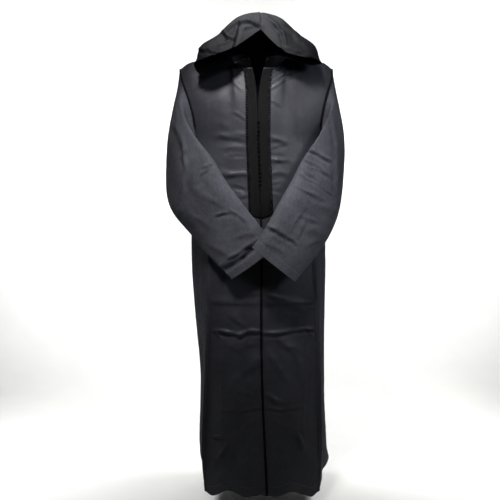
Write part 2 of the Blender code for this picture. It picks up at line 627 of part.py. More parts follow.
def hood_grid(parts, name, rows, side):
    """Grid of one half of the hood, rows from the neckline to the rim, columns front to back."""
    neck = neckline(parts, name) + np.array([0, 0, 0.0006])
    net = np.array(rows, float).reshape(len(rows), 4, 3) * np.array([side, 1, 1])
    net = np.concatenate([neck[:, None], net], axis=1)
    place = np.arange(net.shape[0], dtype=float)
    fine = np.linspace(0, net.shape[0] - 1, HOOD_STEPS * (net.shape[0] - 1) + 1)
    wide = spline(place, net, fine)
    wide[:, 0] = np.stack([np.interp(fine, place, neck[:, k]) for k in range(3)], axis=-1)
    up = np.arange(net.shape[1], dtype=float)
    fine_up = np.linspace(0, net.shape[1] - 1, HOOD_STEPS * (net.shape[1] - 1) + 1)
    return spline(up, wide.transpose(1, 0, 2), fine_up)


def hood(parts):
    """Grids and normals of the two hood halves, alike along the centre seam."""
    right = hood_grid(parts, "right", HOOD_RIGHT, 1)
    left = hood_grid(parts, "left", HOOD_LEFT, -1)
    right[:, -1] = (right[:, -1] + left[:, -1]) / 2
    both = np.concatenate([right, left[:, -2::-1]], axis=1)
    for _ in range(HOOD_SMOOTHING):
        beside = both[:, :-2] + both[:, 2:]
        both[1:-1, 1:-1] = both[1:-1, 1:-1] / 2 + (beside[1:-1] + both[:-2, 1:-1] + both[2:, 1:-1]) / 8
    right = both[:, :right.shape[1]]
    left = both[:, right.shape[1] - 1:][:, ::-1]
    normals = grid_normals(both)
    if normals[4, right.shape[1] - 1, 1] < 0:
        normals = -normals
    cut = right.shape[1]
    return (right, normals[:, :cut]), (left, normals[:, cut - 1:][:, ::-1])


def on_grid(grid, row, col):
    """Points of a grid's flat triangles at fractional rows and columns."""
    i = np.clip(row.astype(int), 0, grid.shape[0] - 2)
    j = np.clip(col.astype(int), 0, grid.shape[1] - 2)
    u, v = (row - i)[..., None], (col - j)[..., None]
    near = grid[i, j] * (1 - u - v) + grid[i + 1, j] * u + grid[i, j + 1] * v
    far = grid[i + 1, j + 1] * (u + v - 1) + grid[i + 1, j] * (1 - v) + grid[i, j + 1] * (1 - u)
    return np.where(u + v <= 1, near, far)


def band(grid, normals):
    """Closed wall of a braid band that lies on a front panel, its outer edge cut in teeth."""
    middle = grid[:, 0]
    top = middle[-1, 2]
    count = 2 * int(round((top - BAND_END) / BAND_TOOTH_PITCH))
    levels = np.linspace(BAND_END, top, count + 1)
    tooth = np.where(np.arange(count + 1) % 2 == 1, BAND_TOOTH, 0.0)
    tooth[-1] = 0.0
    row = np.interp(levels, middle[:, 2], np.arange(len(middle)))
    row[-1] -= 0.10
    reach = np.interp(top - levels, (0, BAND_TAPER), (BAND_WIDTH_TOP, BAND_WIDTH)) + tooth
    sunk = np.interp(levels, (BAND_END, BAND_END + 0.02), (BAND_POINT, 0.0))
    low = np.interp(levels - sunk, middle[:, 2], np.arange(len(middle)))
    share = np.linspace(0, 1, BAND_COLS + 1)[None, :]
    stations = np.linspace(0, NECK_COLS, 4 * NECK_COLS + 1)
    across = on_grid(grid, row[:, None] + 0 * stations, stations + 0 * row[:, None])
    length = np.linalg.norm(np.diff(across, axis=1), axis=-1).cumsum(axis=1)
    length = np.concatenate([np.zeros((count + 1, 1)), length], axis=1)
    wanted = SEAM_GAP + (reach[:, None] - SEAM_GAP) * share
    cols = np.array([np.interp(w, l, stations) for w, l in zip(wanted, length)])
    rows = low[:, None] + (row - low)[:, None] * share
    base = on_grid(grid, rows, cols)
    out = unit(on_grid(normals, rows, cols))
    near_top = np.interp(top - levels, (0.05, BAND_TAPER), (1, 0))[:, None]
    lift = TRIM_LIFT + BAND_TOP_LIFT * share * near_top
    return shell_body(base + out * (lift[..., None] + BAND_THICK), base + out * lift[..., None], False)


def cord(path, out, half_width, height, lift, shape):
    """Closed body of a cord that follows a path, its section given as (across, up) pairs."""
    along = unit(np.gradient(path, axis=0))
    across = unit(np.cross(along, out))
    base = path + out * np.reshape(lift, (-1, 1))
    loops = [base + out * height * up + across * half_width * side for side, up in shape]
    grid = np.stack(loops, axis=1)
    rows, cols = grid.shape[:2]
    index = np.arange(rows * cols).reshape(rows, cols)
    ring = np.concatenate([index, index[:, :1]], axis=1)
    corners = (ring[:-1, :-1], ring[1:, :-1], ring[:-1, 1:], ring[1:, 1:])
    a, b, c, d = (corner.ravel() for corner in corners)
    faces = [np.stack([a, b, c], 1), np.stack([b, d, c], 1)]
    for end in (index[0], index[-1, ::-1]):
        faces.append(np.array([(end[0], end[k], end[k + 1]) for k in range(1, cols - 1)]))
    return grid.reshape(-1, 3), np.concatenate(faces)


def armhole_cord(parts, name, sleeve_normals):
    """Round cord in the valley between the body and the sleeve, from underarm over the shoulder."""
    ring, ring_n = armhole(parts, name)
    out = unit(ring_n + sleeve_normals[1])
    spread = np.clip(np.sum(out * sleeve_normals[1], axis=-1), 0.5, 1.0)
    front_half = np.arange(HIGH_ROWS - 1, -1, -1)
    back_half = np.arange(len(ring) - 1, len(ring) - HIGH_ROWS, -1)
    order = np.concatenate([front_half, back_half])
    lift = CORD_RADIUS / spread[order] + ARMHOLE_CORD_LIFT
    return cord(ring[order], out[order], CORD_RADIUS, CORD_RADIUS, lift, ROUND_SECTION)


def ball(centre, radius, segments=8, levels=4):
    """Vertices and triangles of a small round button."""
    turn = np.arange(segments) * 2 * np.pi / segments
    tilt = np.arange(1, levels) * np.pi / levels
    body = stack(
        np.sin(tilt)[:, None] * np.cos(turn), np.sin(tilt)[:, None] * np.sin(turn), np.cos(tilt)[:, None]
    )
    verts = np.concatenate([body.reshape(-1, 3), [[0, 0, 1], [0, 0, -1]]]) * radius + centre
    index = np.arange((levels - 1) * segments).reshape(levels - 1, segments)
    ring = np.concatenate([index, index[:, :1]], axis=1)
    corners = (ring[:-1, :-1], ring[1:, :-1], ring[:-1, 1:], ring[1:, 1:])
    a, b, c, d = (corner.ravel() for corner in corners)
    top, bottom = len(verts) - 2, len(verts) - 1
    faces = [np.stack([a, b, c], 1), np.stack([b, d, c], 1)]
    faces.append(np.stack([ring[0, :-1], ring[0, 1:], np.full(segments, top)], 1))
    faces.append(np.stack([ring[-1, 1:], ring[-1, :-1], np.full(segments, bottom)], 1))
    return verts, np.concatenate(faces)


def main():
    for old in list(bpy.data.objects):
        bpy.data.objects.remove(old)
    collection = bpy.data.collections.new(OBJECT_NAME)
    bpy.context.scene.collection.children.link(collection)
    cloth, braid = (0.064, 0.064, 0.072), (0.006, 0.006, 0.007)
    parts = trunk()

    # Sleeves
    for name, rows, side in (("left", SLEEVE_LEFT, -1), ("right", SLEEVE_RIGHT, 1)):
        grid, normals = sleeve(parts, name, rows, side)
        grid[0] += unit(grid[1] - grid[0]) * 2 * SEAM_GAP
        body = cloth_piece(grid, normals, ("first_row",), wrap=True)
        add_body("sleeve_" + name, *body, collection, cloth)
        add_body("armhole_cord_" + name, *armhole_cord(parts, name, normals), collection, braid)

    # Body panels
    sewn = ("first_col", "last_col", "last_row")
    for name in ("left", "right"):
        grid, normals = parts["front_" + name]
        add_body("front_" + name, *cloth_piece(grid, normals, sewn), collection, cloth)
        grid, normals = parts["gore_" + name]
        body = cloth_piece(open_slit(grid), normals, sewn)
        add_body("side_gore_" + name, *body, collection, cloth)
    right, right_n = parts["back_right"]
    left, left_n = parts["back_left"]
    back = np.concatenate([right, left[:, -2::-1]], axis=1)
    back_n = np.concatenate([right_n, left_n[:, -2::-1]], axis=1)
    add_body("back", *cloth_piece(back, back_n, sewn), collection, cloth)

    # Hood
    for name, (grid, normals) in zip(("right", "left"), hood(parts)):
        add_body("hood_" + name, *cloth_piece(grid, normals, ("last_col",)), collection, cloth)

    # Braid bands, centre front cord and buttons
    for name in ("left", "right"):
        add_body("placket_band_" + name, *band(*parts["front_" + name]), collection, braid)
    grid, normals = parts["front_right"]
    middle = grid[:, 0]
    end = BAND_END - BAND_POINT - 0.004
    levels = np.concatenate([middle[middle[:, 2] < end - 0.01, 2], [end]])
    row = np.interp(levels, middle[:, 2], np.arange(len(middle)))
    path = on_grid(grid, row, 0 * row)
    out = unit(on_grid(normals, row, 0 * row))
    body = cord(path, out, CORD_HALF_WIDTH, CORD_HEIGHT, CORD_LIFT, HALF_ROUND_SECTION)
    add_body("centre_front_cord", *body, collection, braid)
    levels = np.linspace(BUTTON_TOP, BUTTON_BOTTOM, BUTTON_COUNT)
    row = np.interp(levels, middle[:, 2], np.arange(len(middle)))
    seat = on_grid(grid, row, 0 * row)
    out = unit(on_grid(normals, row, 0 * row))
    centres = seat + out * (TRIM_LIFT + BAND_THICK + BUTTON_RADIUS + 0.0003)
    for number, centre in enumerate(centres, 1):
        add_body(f"button_{number:02d}", *ball(centre, BUTTON_RADIUS), collection, braid)


main()
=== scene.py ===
"""Looks of a long hooded robe (djellaba) in charcoal cloth with black braid, worn by nobody.

Metres, +Z up, the front faces -Y. The cloth pieces are thin sheets on the forms of the solids,
worked out from the same sections, at a finer step, with their creases pressed in.
Left and right are those of the picture.
"""
import itertools

import bpy
import numpy as np
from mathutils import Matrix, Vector


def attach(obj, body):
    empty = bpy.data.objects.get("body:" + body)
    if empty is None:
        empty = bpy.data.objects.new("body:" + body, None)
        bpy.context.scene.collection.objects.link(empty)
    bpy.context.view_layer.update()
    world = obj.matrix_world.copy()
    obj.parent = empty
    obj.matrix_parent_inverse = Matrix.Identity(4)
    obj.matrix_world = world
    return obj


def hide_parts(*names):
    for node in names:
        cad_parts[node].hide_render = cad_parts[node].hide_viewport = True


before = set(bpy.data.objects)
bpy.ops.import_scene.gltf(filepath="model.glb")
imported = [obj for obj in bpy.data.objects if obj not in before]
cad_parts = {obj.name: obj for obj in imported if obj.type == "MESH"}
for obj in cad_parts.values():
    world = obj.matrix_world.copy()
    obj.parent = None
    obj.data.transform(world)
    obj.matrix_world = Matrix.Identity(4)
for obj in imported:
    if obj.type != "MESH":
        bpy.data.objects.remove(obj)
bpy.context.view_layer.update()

# View of the photograph
CAMERA_PLACE = (-0.0247, -2.73, -0.404)
CAMERA_TILT = 0.0838
CAMERA_LENS = 59.98

# Cloth sheets: step of the mesh, the closer steps beside an edge, thickness, rounds of evening
# out, and the middle of the trunk, which tells the outside of the cloth from its inside
CELL = 0.0040
EDGE_STEPS = (0.0012, 0.0025)
SHEET = 0.0009
EVEN_TIMES = 6
TRUNK_MIDDLE = (0, 0, -0.8)

# Seams: gap between two pieces, depth and width of the dip along a seam, and the length in which
# creases die out before it. An allowance is two rows past the edge, each as far onward and how deep
SEAM_GAP = 0.0003
SEAM_SINK = 0.0007
SEAM_ROLL = 0.0040
SEAM_CALM = 0.0140
ALLOWANCE = ((0.0016, 0.0014), (0.0080, 0.0024))
SLEEVE_ALLOWANCE = ((0.0014, 0.0016), (0.0050, 0.0056))

# Edge of the fronts pressed up and edge of the gores sunk beside it, growing between the two
# depths of PRESSED_FROM below the shoulder
PRESSED_RISE = 0.0028
PRESSED_WIDE = 0.0045
GORE_SINK = 0.0034
GORE_SINK_WIDE = 0.0110
PRESSED_FROM = (0.32, 0.46)

# Turned-up hem: its depth, how far it stands proud, the width of its step, the depth and width of
# the ditch above it, and how far the ditch and the stitches are from the step
HEM_DEPTH = 0.030
HEM_RAISE = 0.0007
HEM_STEP = 0.004
HEM_DITCH = 0.0009
HEM_DITCH_WIDE = 0.0028
HEM_LINE = 0.001

# Colours and finish: two copies of the one cloth as dark, light, roughness and specular level, the
# body's painted darker, as in shade, and the sleeves' and hood's painted lighter, as in light, braid
# and cord as dark, light (a painted highlight on the strands), strand pitch and strand height, thread
# and paper as dark and light, the tints of the cloth's sheen and of the room's light, and the step of
# the drawn weave
SHADED_BODY_FINISH = ("#27272C", "#36373E", 0.40, 0.25)
LIT_SLEEVE_FINISH = ("#313137", "#53545C", 0.60, 0.10)
BAND_FINISH = ("#040405", "#121213", 0.0022, 0.0005)
CORD_FINISH = ("#040405", "#121213", 0.0016, 0.0003)
THREAD_FINISH = ("#4A4A4F", "#6A6A70")
PAPER_FINISH = ("#EDEDEB", "#F4F4F2")
SHEEN_TINT = "#A9ABB2"
ROOM_TINT = "#F2F4F8"
WEAVE_PITCH = 0.0014

# Paper sweep: level of the floor, half width for each metre from the camera, where it begins and
# where it bends up, the radius of the bend, its top, and the steps along the bend and across it
FLOOR = -1.4300
SWEEP_SPREAD = 0.42
SWEEP_FRONT = -0.6
SWEEP_BACK = 1.1
SWEEP_RADIUS = 0.9
SWEEP_TOP = 3.0
SWEEP_STEPS = 12
SWEEP_COLS = 9

# Strength of the room's light, and lamps as name, place, aim, width, power, spread in degrees, tint,
# and whether the lamp is flagged off the hood, as a studio does so that the hood doesn't outshine
# the chest
ROOM_LIGHT = 0.03
LAMPS = (
    ("key", (-0.25, -1.0, 0.95), (0.0, -0.15, -0.27), 0.4, 2.0, 31, "#FFFDFA", True),
    ("fill", (1.6, -1.9, 0.5), (0.05, -0.1, -0.30), 1.0, 1.4, 30, "#F6F8FF", True),
    ("hood", (-0.12, 0.26, 1.15), (0.0, -0.02, 0.03), 0.12, 0.27, 26, "#FFFFFF", False),
    ("paper left", (-1.3, 0.8, 0.3), (-0.7, 2.0, -0.3), 1.0, 22.0, 130, "#FFFFFF", False),
    ("paper right", (1.3, 0.8, 0.3), (0.7, 2.0, -0.3), 1.0, 22.0, 130, "#FFFFFF", False),
    ("floor left", (-1.5, 0.3, 0.1), (-0.8, 0.1, -1.43), 0.8, 8.0, 80, "#FFFFFF", False),
    ("floor right", (1.5, 0.3, 0.1), (0.8, 0.1, -1.43), 0.8, 8.0, 80, "#FFFFFF", False),
)

# Columns of each piece round the robe and rows up it, finer steps between the sections of sleeves
# and hood, and their rounds of smoothing
FRONT_COLS = 9
NECK_COLS = 4
GORE_COLS = 8
BACK_COLS = 9
HIGH_ROWS = 8
SLEEVE_STEPS = 2
SLEEVE_SMOOTHING = 4
HOOD_STEPS = 2
HOOD_SMOOTHING = 2

# Levels of the rows from the hem to the underarm, closer together where a crease runs across
ROW_LEVELS = (
    -1.395, -1.375, -1.340, -1.285, -1.220, -1.160, -1.130, -1.112, -1.094, -1.060, -0.990,
    -0.925, -0.895, -0.877, -0.859, -0.825, -0.765, -0.700, -0.620, -0.530, -0.440, -0.350,
    -0.272,
)

# Sections of the trunk and skirt: mid = centre front, seam = front edge of the side gore,
# side = widest point, back = centre back, l and r = the left and right of the picture
SECTION_COLUMNS = (
    "z", "mid_x", "mid_y", "seam_l", "seam_r", "seam_y", "side_l", "side_r", "side_y", "back_y",
)
SECTIONS = (
    (-1.395, 0.029, -0.192, -0.168, 0.196, -0.146, -0.196, 0.249, 0.110, 0.156),
    (-1.285, 0.024, -0.184, -0.178, 0.203, -0.136, -0.200, 0.238, 0.090, 0.152),
    (-1.160, 0.018, -0.176, -0.175, 0.203, -0.130, -0.195, 0.229, 0.075, 0.146),
    (-1.060, 0.014, -0.168, -0.170, 0.201, -0.126, -0.194, 0.226, 0.065, 0.140),
    (-0.900, 0.011, -0.158, -0.164, 0.195, -0.122, -0.205, 0.226, 0.060, 0.134),
    (-0.765, 0.011, -0.150, -0.159, 0.188, -0.119, -0.216, 0.227, 0.055, 0.130),
    (-0.660, 0.011, -0.145, -0.156, 0.182, -0.116, -0.220, 0.228, 0.050, 0.126),
    (-0.520, 0.009, -0.141, -0.162, 0.177, -0.110, -0.219, 0.222, 0.040, 0.120),
    (-0.400, 0.005, -0.138, -0.174, 0.180, -0.099, -0.214, 0.217, 0.020, 0.116),
    (-0.272, 0.000, -0.134, -0.198, 0.198, -0.068, -0.214, 0.213, 0.002, 0.114),
)

# Power of the curve from the centre front to the gore
FRONT_ROUNDING = 2.2

# Back panel's edge at the hem and at the underarm: share of the half width, and how far in front
# of the centre back
BACK_SEAM_SHARE = (0.78, 0.92)
BACK_SEAM_SET_IN = (0.030, 0.052)

# Lower edge: lift towards the back, from where and over what run it grows, a wave across it, and
# the height in which both fade out. Slit at the front of the gores: its top and how far it stands
# open at the hem
HEM_RISE = 0.038
HEM_RISE_FROM = -0.150
HEM_RISE_RUN = 0.300
HEM_WAVE = 0.006
HEM_SOFT = 0.110
SLIT_TOP = -1.290
SLIT_OPEN = 0.010

# Inward fold of the gores, and the hanging waves of the back: height, width and phase, and from
# where and over what run they set in towards the back
GORE_FOLD = 0.016
BACK_FOLD = 0.007
BACK_FOLD_WIDTH = 0.150
BACK_FOLD_PHASE = 0.6
BACK_FOLD_FROM = 0.080
BACK_FOLD_RUN = 0.050

# Neckline and shoulder seam, rows of q, x, y, z, reach and drop: q = place from the centre (0) to
# the armhole (1), reach and drop = how far the cloth bows out and down before it gets there
NECK_SHARE = NECK_COLS / FRONT_COLS
FRONT_NECK = (
    (0.000, 0.018, -0.106, -0.056, 0.014, 0.060),
    (0.110, 0.043, -0.101, -0.055, 0.020, 0.058),
    (0.220, 0.067, -0.083, -0.048, 0.040, 0.050),
    (0.330, 0.085, -0.048, -0.026, 0.066, 0.036),
    (NECK_SHARE, 0.089, 0.000, 0.000, 0.088, 0.020),
)
BACK_NECK = (
    (0.000, 0.000, 0.070, 0.014, 0.036, 0.040),
    (0.110, 0.028, 0.066, 0.013, 0.038, 0.038),
    (0.220, 0.054, 0.052, 0.010, 0.046, 0.032),
    (0.330, 0.077, 0.028, 0.005, 0.066, 0.026),
    (NECK_SHARE, 0.089, 0.000, 0.000, 0.084, 0.020),
)
SHOULDER = (
    (NECK_SHARE, 0.089, 0.000, 0.000, 0.088, 0.020),
    (0.620, 0.140, 0.000, -0.010, 0.090, 0.020),
    (0.820, 0.202, 0.000, -0.023, 0.084, 0.020),
    (0.930, 0.231, 0.000, -0.034, 0.078, 0.018),
    (1.000, 0.246, 0.000, -0.048, 0.072, 0.016),
)

# Chest and back above the underarm: shift of the shoulder tips, length of the curves' first leg as
# a share of their height, and how far the armhole bows out
SHOULDER_SHIFT = 0.005
RISE_SHARE = 0.42
ARMHOLE_BOW = 0.030

# Sleeve beside the body: clearance and its factor at the underarm, growth of the body towards the
# shoulder and how fast it grows, softness of the push in two strengths, extra room with the
# levels and sleeve sections between which it comes and goes, and steps of the body's outline
BODY_CLEARANCE = 0.0090
UNDERARM_CLEARANCE = 1.17
SHOULDER_GROWTH = 0.090
SHOULDER_SPEED = 1.6
LAYER_SOFTNESS = 0.0115
HARD = 0.0005
SLEEVE_ROOM = 0.0404
ROOM_FROM = -0.170
ROOM_FULL = -0.290
ROOM_SECTIONS = (2.5, 5.0)
OUTLINE_STEPS = 180

# Places round the sleeve, in half turns, of the shoulder tip, the front and middle and back of the
# underarm, and the shoulder tip again: at the first section and from TWIST_RINGS sections on
SLEEVE_TURN_TOP = (0.0, 0.796, 1.10, 1.56, 2.0)
SLEEVE_TURN_LOW = (0.0, 0.92, 1.18, 1.42, 2.0)
TWIST_RINGS = 3

# Straight edge of the cloth that the raised arm stretches from the shoulder to the forearm, one row
# for each of the first sleeve sections: its place, x counted outward, its place round the sleeve in
# half turns and the share of the way that the section is drawn out to it. WEB_REACH = how far round
# the sleeve it pulls, in half turns, towards the shoulder tip and towards the underarm
WEB_COLUMNS = ("x", "y", "z", "turn", "share")
WEB_RIGHT = (
    (0.234, -0.077, -0.140, 0.50, 0.5),
    (0.196, -0.127, -0.215, 0.66, 1.0),
    (0.162, -0.155, -0.280, 0.78, 1.0),
    (0.128, -0.165, -0.343, 0.90, 0.8),
    (0.100, -0.172, -0.390, 1.00, 0.0),
)
WEB_LEFT = (
    (0.243, -0.077, -0.140, 0.50, 0.5),
    (0.209, -0.127, -0.215, 0.66, 1.0),
    (0.175, -0.155, -0.280, 0.78, 1.0),
    (0.137, -0.165, -0.343, 0.90, 0.8),
    (0.108, -0.172, -0.390, 1.00, 0.0),
)
WEB_REACH = (0.42, 0.24)

# Sleeve sections: o = outer edge, i = inner edge, deep = half depth between them.
# x counts outward from the middle, so a minus sign is past the middle
SLEEVE_COLUMNS = ("o_x", "o_y", "o_z", "i_x", "i_y", "i_z", "deep")
SLEEVE_RIGHT = (
    (0.248, 0.002, -0.112, 0.222, -0.039, -0.277, 0.0874),
    (0.258, 0.000, -0.190, 0.1984, -0.0878, -0.3013, 0.076),
    (0.267, -0.003, -0.275, 0.163, -0.130, -0.320, 0.064),
    (0.271, -0.010, -0.360, 0.138, -0.155, -0.352, 0.056),
    (0.270, -0.030, -0.440, 0.112, -0.178, -0.398, 0.053),
    (0.259, -0.062, -0.515, 0.085, -0.197, -0.437, 0.052),
    (0.235, -0.100, -0.570, 0.060, -0.210, -0.478, 0.046),
    (0.203, -0.140, -0.618, 0.036, -0.222, -0.519, 0.039),
    (0.165, -0.180, -0.664, 0.012, -0.234, -0.560, 0.032),
    (0.112, -0.225, -0.711, -0.018, -0.248, -0.606, 0.024),
)
SLEEVE_LEFT = (
    (0.257, 0.002, -0.112, 0.222, -0.039, -0.277, 0.0874),
    (0.269, 0.000, -0.190, 0.1984, -0.0878, -0.3013, 0.076),
    (0.282, -0.003, -0.280, 0.163, -0.126, -0.318, 0.064),
    (0.294, -0.010, -0.370, 0.137, -0.145, -0.350, 0.055),
    (0.300, -0.028, -0.452, 0.108, -0.158, -0.394, 0.050),
    (0.276, -0.055, -0.518, 0.072, -0.165, -0.440, 0.047),
    (0.222, -0.085, -0.568, 0.040, -0.168, -0.482, 0.040),
    (0.180, -0.115, -0.618, 0.008, -0.170, -0.524, 0.034),
    (0.135, -0.145, -0.664, -0.028, -0.173, -0.566, 0.028),
    (0.082, -0.175, -0.710, -0.065, -0.177, -0.606, 0.022),
)

# Hood: one row for each column of the neckline from the centre front round to the centre back,
# with x, y and z of three places on the way from the neckline to the rim and of the rim itself.
# x counts outward
HOOD_RIGHT = (
    (0.020, -0.108, -0.048, 0.022, -0.109, -0.040, 0.025, -0.109, -0.032, 0.028, -0.108, -0.025),
    (0.047, -0.113, -0.046, 0.052, -0.120, -0.038, 0.057, -0.126, -0.031, 0.062, -0.131, -0.025),
    (0.076, -0.098, -0.036, 0.086, -0.112, -0.030, 0.096, -0.124, -0.030, 0.106, -0.133, -0.034),
    (0.093, -0.055, -0.012, 0.120, -0.078, -0.018, 0.142, -0.099, -0.032, 0.160, -0.114, -0.050),
    (0.100, -0.002, 0.011, 0.142, -0.020, 0.001, 0.190, -0.052, -0.017, 0.197, -0.122, -0.043),
    (0.092, 0.034, 0.020, 0.144, 0.038, 0.034, 0.189, -0.060, 0.027, 0.155, -0.156, -0.032),
    (0.068, 0.072, 0.026, 0.110, 0.094, 0.054, 0.132, -0.012, 0.071, 0.087, -0.138, -0.013),
    (0.036, 0.094, 0.032, 0.060, 0.134, 0.078, 0.071, 0.046, 0.145, 0.044, -0.078, 0.029),
    (0.000, 0.100, 0.034, 0.004, 0.146, 0.084, 0.008, 0.088, 0.168, 0.010, -0.020, 0.077),
)
HOOD_LEFT = (
    (0.020, -0.108, -0.048, 0.022, -0.109, -0.040, 0.025, -0.109, -0.032, 0.028, -0.108, -0.025),
    (0.047, -0.113, -0.048, 0.055, -0.122, -0.044, 0.064, -0.130, -0.042, 0.074, -0.136, -0.048),
    (0.078, -0.098, -0.036, 0.094, -0.114, -0.036, 0.112, -0.128, -0.048, 0.136, -0.140, -0.077),
    (0.093, -0.055, -0.012, 0.120, -0.080, -0.023, 0.151, -0.107, -0.044, 0.181, -0.126, -0.077),
    (0.100, -0.002, 0.011, 0.146, -0.022, -0.002, 0.190, -0.052, -0.018, 0.197, -0.126, -0.045),
    (0.092, 0.034, 0.020, 0.144, 0.038, 0.034, 0.190, -0.060, 0.026, 0.155, -0.164, -0.032),
    (0.068, 0.072, 0.026, 0.108, 0.094, 0.054, 0.131, -0.012, 0.063, 0.093, -0.146, -0.008),
    (0.036, 0.094, 0.032, 0.060, 0.134, 0.078, 0.073, 0.046, 0.147, 0.055, -0.086, 0.020),
    (0.000, 0.100, 0.034, -0.004, 0.146, 0.084, -0.008, 0.088, 0.168, -0.010, -0.020, 0.077),
)

# Hood: its lift off the neckline, its middle, the lengths in which its creases die out before the
# centre seam and the neckline, and the depth of the stitches along its rim
HOOD_SEAM_LIFT = 0.0006
HOOD_MIDDLE = (0.0, 0.0, 0.03)
HOOD_CALM = (0.012, 0.015)
HOOD_STITCHES = 0.010

# Placket bands: width at the neck and below the taper, lower end and the slant of its point, gap
# below the neckline, thickness, lift at the neck and the length in which it is gone, and the
# steps of the mesh along a band and across it
BAND_WIDTH_TOP = 0.0245
BAND_WIDTH = 0.0315
BAND_TAPER = 0.115
BAND_TOOTH_PITCH = 0.0080
BAND_END = -0.512
BAND_POINT = 0.011
BAND_POINT_RUN = 0.02
BAND_BELOW_NECK = 0.0020
BAND_THICK = 0.0016
BAND_TOP_LIFT = 0.0012
BAND_TOP_RUN = 0.05
BAND_STEP = 0.0016
BAND_COLS = 61

# Ribs along a band, its raised border and middle edge as height, place and width, the border's
# place a share of the band's width, and its picot loops
RIB_PITCH = 0.0036
RIB_HIGH = 0.0010
BORDER = (0.0006, 0.80, 0.0016)
MIDDLE_EDGE = (0.0008, 0.0022, 0.0014)
PICOT_RADIUS = 0.0014
PICOT_WIDE = 0.0018
PICOT_REACH = 0.0060
PICOT_TURN = 0.15

# Buttons down the middle, and the trim's lift off the cloth, as in the solids and beyond them
TRIM_LIFT = 0.0005
RAISED = 0.0003
BUTTON_COUNT = 16
BUTTON_TOP = -0.226
BUTTON_BOTTOM = -0.418
BUTTON_RADIUS = 0.0037

# Half-round cord down the centre front: section, lift, skin, length of a strand along it, gaps to
# the hem and to the bands, and the step of its mesh
CORD_HALF_WIDTH = 0.0034
CORD_HEIGHT = 0.0036
CORD_LIFT = 0.0007
CORD_SKIN = 0.0005
STRAND_PITCH = 0.0042
CORD_HEM_GAP = 0.001
CORD_BAND_GAP = 0.003
CORD_STEP = 0.0012

# Round cord of the armholes: radius, its swell where strands stand up, lift off the seam, how far
# and over what drop it sinks at the shoulder, the least share by which the sleeve faces its way
# out, and the step and sides of its mesh
CORD_RADIUS = 0.0027
TWIST_SWELL = 1.08
ARMHOLE_CORD_LIFT = 0.0008
SHOULDER_CORD_SINK = 0.0052
SHOULDER_CORD_DROP = 0.024
VALLEY = 0.85
TWIST_STEP = 0.0010
TWIST_SIDES = 20

# Button loops: radius, reach round the button's neck, length under the band, lift off it
LOOP_RADIUS = 0.0009
LOOP_REACH = 0.0026
LOOP_ROOT = 0.0085
LOOP_LIFT = 0.0006

# Thin cords: sides of the tube, and the share of the radius to which its ends are drawn in
THIN_SIDES = 6
TUBE_TIP = 0.02

# Stitches: step, length, radius, distance of the first and last from the ends of the row, and
# height of the points along one stitch in radii
STITCH_PITCH = 0.0042
STITCH_LENGTH = 0.0030
STITCH_RADIUS = 0.00028
STITCH_FIRST = 0.004
STITCH_LAST = 0.006
STITCH_ARCH = (-0.4, 0.6, 0.9, 0.6, -0.4)

# Uneven lie of the cloth: height, cell in x, y and z, and seed of each smooth noise. The flutes
# grow from a depth below the shoulder on, and the pulls of the lap between two depths, on the
# front and within LAP_HALF_WIDTH of the middle
NOISE_CELLS = 32
SWELL = (0.0016, (0.16, 0.16, 0.13), 11)
FLUTES = (0.0022, (0.055, 0.055, 0.60), 12)
FLUTES_FROM = 0.45
FLUTES_RUN = 0.9
CRUMPLE_CELL = (0.050, 0.050, 0.036)
CRUMPLE_SEED = 13
PINCH_HIGH = 0.0011
PINCH_LEVEL = 0.35
PINCH_CELL = (0.20, 0.20, 0.20)
PINCH_SEED = 14
GRAIN = (0.00028, (0.017, 0.017, 0.012), 15)
LAP = (0.0042, (0.058, 0.20, 0.042), 16)
LAP_HALF_WIDTH = 0.12
LAP_FROM = (0.66, 0.90)
LAP_FRONT = 0.06

# Straying of the creases from their lines: how far, its cell and seed, and the length from which
# a crease strays in full
WANDER = (0.0030, (0.030, 0.030, 0.030), 5)
WANDER_RUN = 0.08

# Upright plane on which the hood's creases are placed as the camera sees them
HOOD_PLANE = -0.090

# Factor on the height of every crease
CREASE_RISE = 1.5

